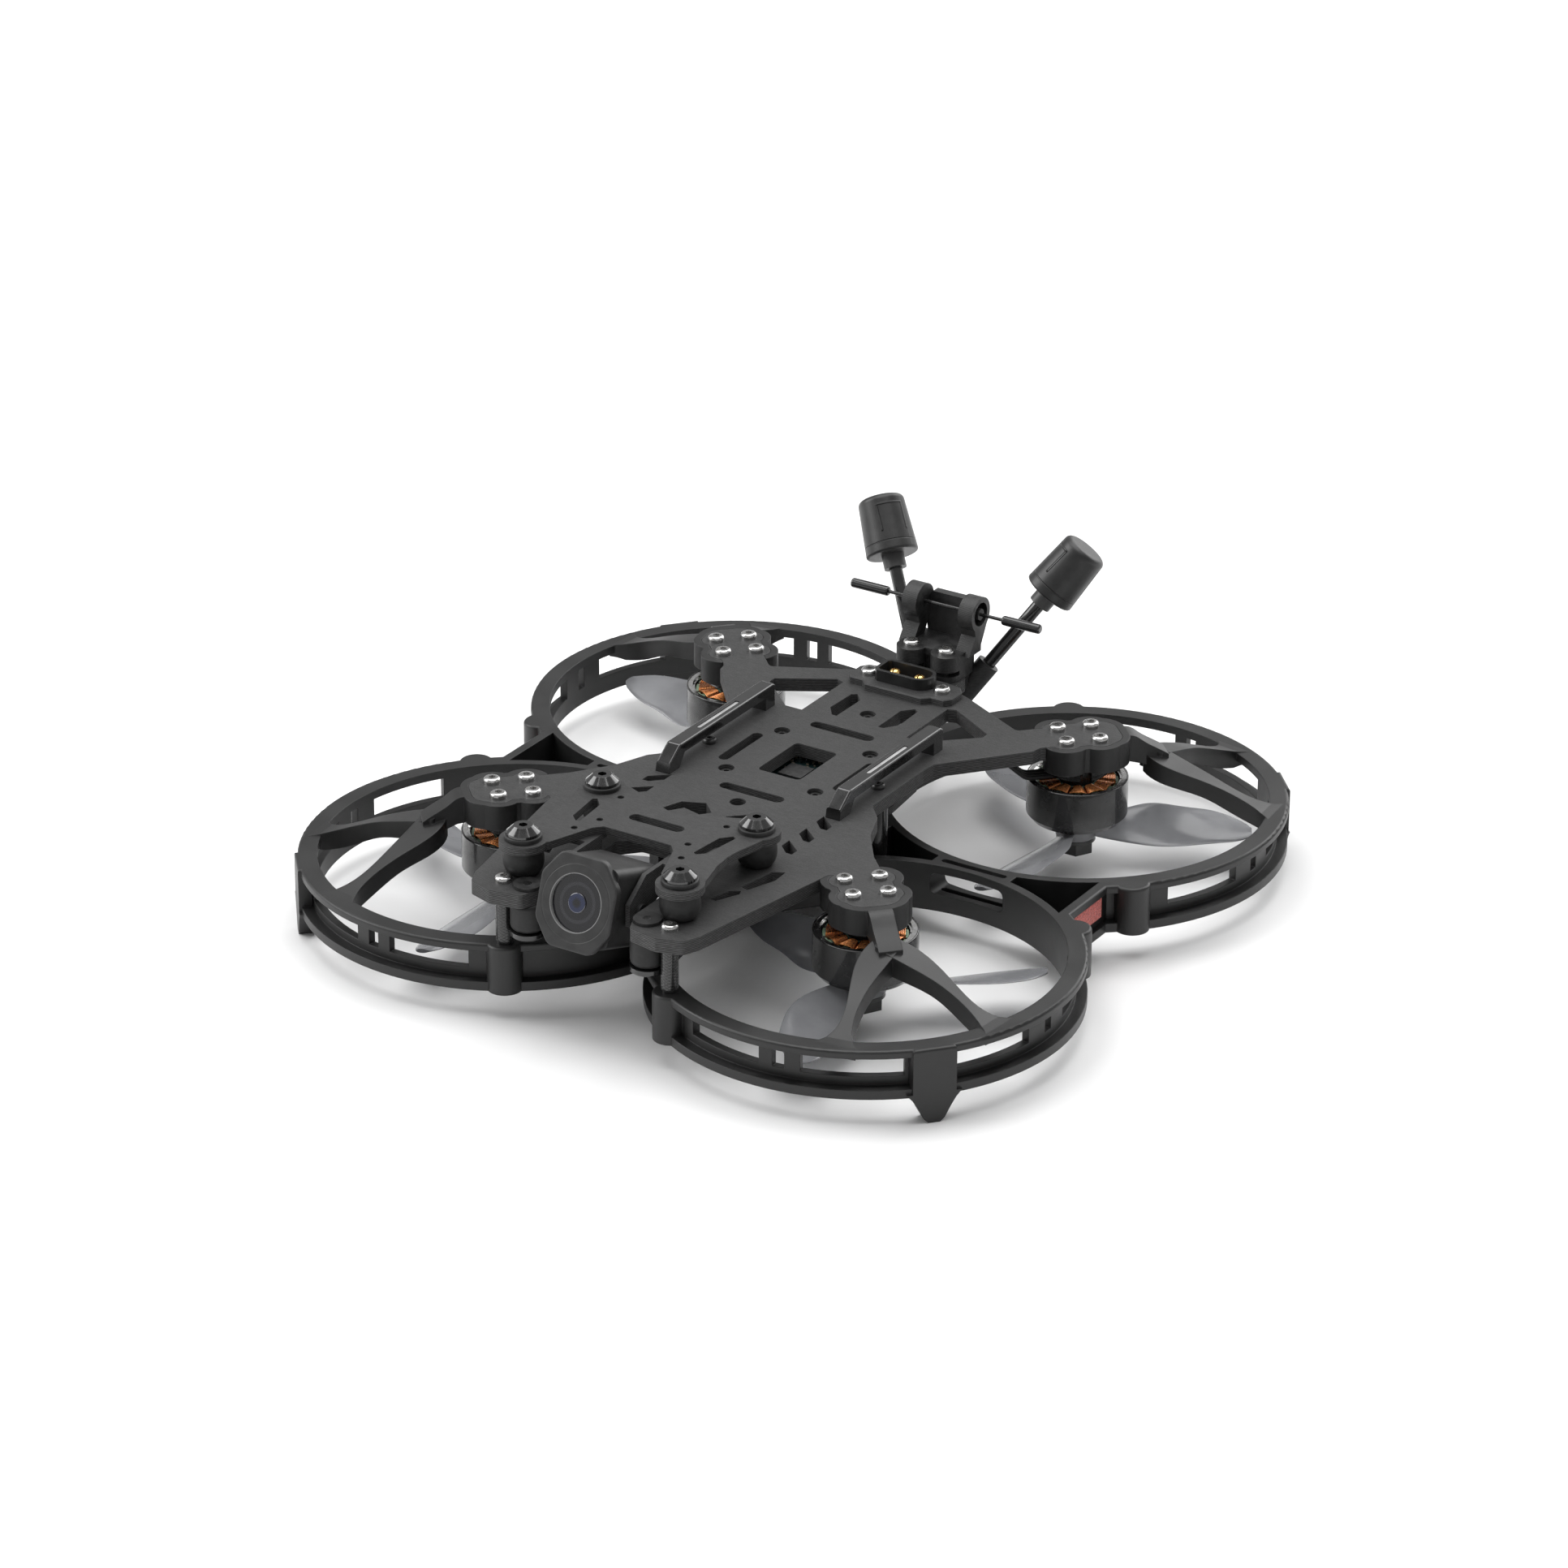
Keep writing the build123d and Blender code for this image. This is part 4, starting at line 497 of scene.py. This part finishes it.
def windCoils():                 # single turns of wire round each stator tooth
    sizes = {"wire": 0.2 * mm, "turns": 10, "teeth": 12, "inner": 5.5 * mm, "pitch": 0.41 * mm,
             "width": 2.05 * mm, "height": 5.9 * mm, "spread": 0.11, "middle": 20.7 * mm}
    recipe = Recipe("windingTurns", sizes, looks["copper"])
    loop = recipe.make("GeometryNodeCurvePrimitiveQuadrilateral", {}, {"Width": recipe.size("height"),
                                                                       "Height": recipe.size("width")})
    soft = recipe.make("GeometryNodeFilletCurve", {"mode": "POLY"},
                       {"Curve": loop, "Radius": 0.55 * mm, "Count": 3})
    profile = recipe.make("GeometryNodeCurvePrimitiveCircle", {},
                          {"Resolution": 6, "Radius": recipe.size("wire")})
    turn = recipe.make("GeometryNodeCurveToMesh", {}, {"Curve": soft, "Profile Curve": profile})
    stood = recipe.make("GeometryNodeTransform", {}, {"Geometry": turn, "Rotation": (0, math.pi / 2, 0)})
    index = recipe.make("GeometryNodeInputIndex")
    wider = recipe.sum("ADD", 1.0, recipe.sum("MULTIPLY", index, recipe.size("spread")))
    coil = recipe.copies(stood, recipe.size("turns"), offset=recipe.vector(recipe.size("pitch")),
                         scale=recipe.vector(1.0, wider, 1.0))
    moved = recipe.make("GeometryNodeTransform", {}, {"Geometry": coil,
                                                      "Translation": recipe.vector(recipe.size("inner"))})
    angle = recipe.sum("MULTIPLY", index, recipe.sum("DIVIDE", 2 * math.pi, recipe.size("teeth")))
    ring = recipe.copies(moved, recipe.size("teeth"), rotation=recipe.vector(0.0, 0.0, angle))
    four = recipe.make("GeometryNodeInstanceOnPoints", {}, {"Points": motorPoints(recipe), "Instance": ring})
    lifted = recipe.make("GeometryNodeTransform", {}, {
        "Geometry": recipe.make("GeometryNodeRealizeInstances", {}, {0: four}),
        "Translation": recipe.vector(0.0, 0.0, recipe.size("middle"))})
    coils = recipe.finish(lifted, "airframe")
    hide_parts("stator_windings")
    return coils


def coverBoard():                # small parts soldered between the chips
    low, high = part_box("flight_controller")
    sizes = {"board": 30.5 * mm, "gap": 1.35 * mm, "part": 0.8 * mm, "tall": 0.5 * mm,
             "face": low[2] + 1.4 * mm, "seed": 11}
    recipe = Recipe("solderedParts", sizes, paintedLook("solderedPart", 0.16, 0.35, tint=(1, 0.85, 0.62)))
    plate = recipe.make("GeometryNodeMeshGrid", {}, {
        "Size X": recipe.size("board"), "Size Y": recipe.size("board"), "Vertices X": 2, "Vertices Y": 2})
    spots = recipe.make("GeometryNodeDistributePointsOnFaces", {"distribute_method": "POISSON"},
                        {"Mesh": plate, "Distance Min": recipe.size("gap"), "Density Max": 400000.0,
                         "Seed": recipe.size("seed")})
    block = recipe.make("GeometryNodeMeshCube", {}, {"Size": recipe.vector(recipe.size("part"),
                        recipe.sum("MULTIPLY", recipe.size("part"), 0.55), recipe.size("tall"))})
    turnBy = recipe.make("FunctionNodeRandomValue", {"data_type": "INT"}, {4: 0, 5: 1, "Seed": 5}, 2)
    turned = recipe.vector(0.0, 0.0, recipe.sum("MULTIPLY", turnBy, math.pi / 2))
    big = recipe.make("FunctionNodeRandomValue", {"data_type": "FLOAT"}, {2: 0.6, 3: 1.15, "Seed": 8}, 1)
    placed = recipe.make("GeometryNodeInstanceOnPoints", {}, {"Points": spots, "Instance": block,
                                                              "Rotation": turned, "Scale": big})
    lift = recipe.sum("ADD", recipe.size("face"), recipe.sum("MULTIPLY", recipe.size("tall"), 0.45))
    raised = recipe.make("GeometryNodeTransform", {}, {"Geometry": placed,
                                                       "Translation": recipe.vector(0.0, 0.0, lift)})
    return recipe.finish(raised, "airframe")


def braidPosts():                # crossed ridges that give the front posts their grip
    low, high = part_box("front_standoffs")
    sizes = {"half": 23.2 * mm, "along": -93.1 * mm, "radius": 1.98 * mm, "ridge": 0.13 * mm, "turns": 1.6,
             "strands": 9, "low": low[2] + 0.7 * mm, "length": high[2] - low[2] - 1.4 * mm}
    recipe = Recipe("postGrip", sizes, looks["posts"])
    profile = recipe.make("GeometryNodeCurvePrimitiveCircle", {},
                          {"Resolution": 5, "Radius": recipe.size("ridge")})
    index = recipe.make("GeometryNodeInputIndex")
    angle = recipe.sum("MULTIPLY", index, recipe.sum("DIVIDE", 2 * math.pi, recipe.size("strands")))
    both = recipe.tree.nodes.new("GeometryNodeJoinGeometry")
    for reverse in (False, True):
        strand = recipe.make("GeometryNodeCurveSpiral", {}, {
            "Resolution": 20, "Rotations": recipe.size("turns"), "Start Radius": recipe.size("radius"),
            "End Radius": recipe.size("radius"), "Height": recipe.size("length"), "Reverse": reverse})
        thread = recipe.make("GeometryNodeCurveToMesh", {}, {"Curve": strand, "Profile Curve": profile,
                                                             "Fill Caps": True})
        wrapped = recipe.copies(thread, recipe.size("strands"), rotation=recipe.vector(0.0, 0.0, angle))
        recipe.tree.links.new(wrapped, both.inputs[0])
    pair = recipe.make("GeometryNodeMeshLine", {}, {
        "Count": 2, "Offset": recipe.vector(recipe.sum("MULTIPLY", recipe.size("half"), 2.0)),
        "Start Location": recipe.vector(recipe.sum("MULTIPLY", recipe.size("half"), -1.0),
                                        recipe.size("along"), recipe.size("low"))})
    posts = recipe.make("GeometryNodeInstanceOnPoints", {}, {"Points": pair, "Instance": both.outputs[0]})
    return recipe.finish(posts, "airframe")


for piece in (windCoils(), coverBoard(), braidPosts()):
    print(piece.name, len(piece.data.polygons), "faces")


# floor, light and camera

def studio():
    sizes = {"floor": 6.0, "world": 0.42}
    bpy.ops.mesh.primitive_plane_add(size=sizes["floor"])
    floor = bpy.context.object
    floor.name = "paleFloor"
    pale = Look("paleFloor", Roughness=0.7, SpecularIor=0.2)
    pale.feed(pale.shader.inputs["Base Color"], pale.blend(pale.noise(3), grey(0.86), grey(0.9)))
    floor.data.materials.append(pale.material)
    world = bpy.data.worlds.new("softWorld")
    world.use_nodes = True
    world.node_tree.nodes["Background"].inputs[0].default_value = (1, 1, 1, 1)
    world.node_tree.nodes["Background"].inputs[1].default_value = sizes["world"]
    bpy.context.scene.world = world
    lamps = {"overhead": ((-0.1, 0.15, 1.3), (0, 0, 0), 1.3, 16.0),
             "leftSide": ((-1.1, -0.5, 0.75), (0, 0, 0.03), 0.9, 12.0),
             "behind": ((0.2, 1.4, 0.8), (0, 0, 0.03), 1.2, 12.0)}
    for name, (place, target, width, power) in lamps.items():
        data = bpy.data.lights.new(name, "AREA")
        data.size = width
        data.energy = power
        lamp = bpy.data.objects.new(name, data)
        bpy.context.scene.collection.objects.link(lamp)
        lamp.location = place
        lamp.rotation_euler = (Vector(target) - Vector(place)).to_track_quat("-Z", "Y").to_euler()


def placeCamera():
    sizes = {"place": (0.70759, -1.13758, 0.66372), "lens": 139.17, "ahead": (-0.47927, 0.76607, -0.4283),
             "up": (-0.23113, 0.3606, 0.90363)}
    data = bpy.data.cameras.new("studioCamera")
    data.lens = sizes["lens"]
    data.sensor_width = 36
    camera = bpy.data.objects.new("studioCamera", data)
    bpy.context.scene.collection.objects.link(camera)
    back = -Vector(sizes["ahead"]).normalized()
    right = Vector(sizes["up"]).cross(back).normalized()
    up = back.cross(right)
    turn = Matrix((right, up, back)).transposed().to_4x4()
    camera.matrix_world = Matrix.Translation(sizes["place"]) @ turn
    bpy.context.scene.camera = camera


studio()
placeCamera()
bpy.context.scene.view_settings.view_transform = "Standard"
print("studio ready")
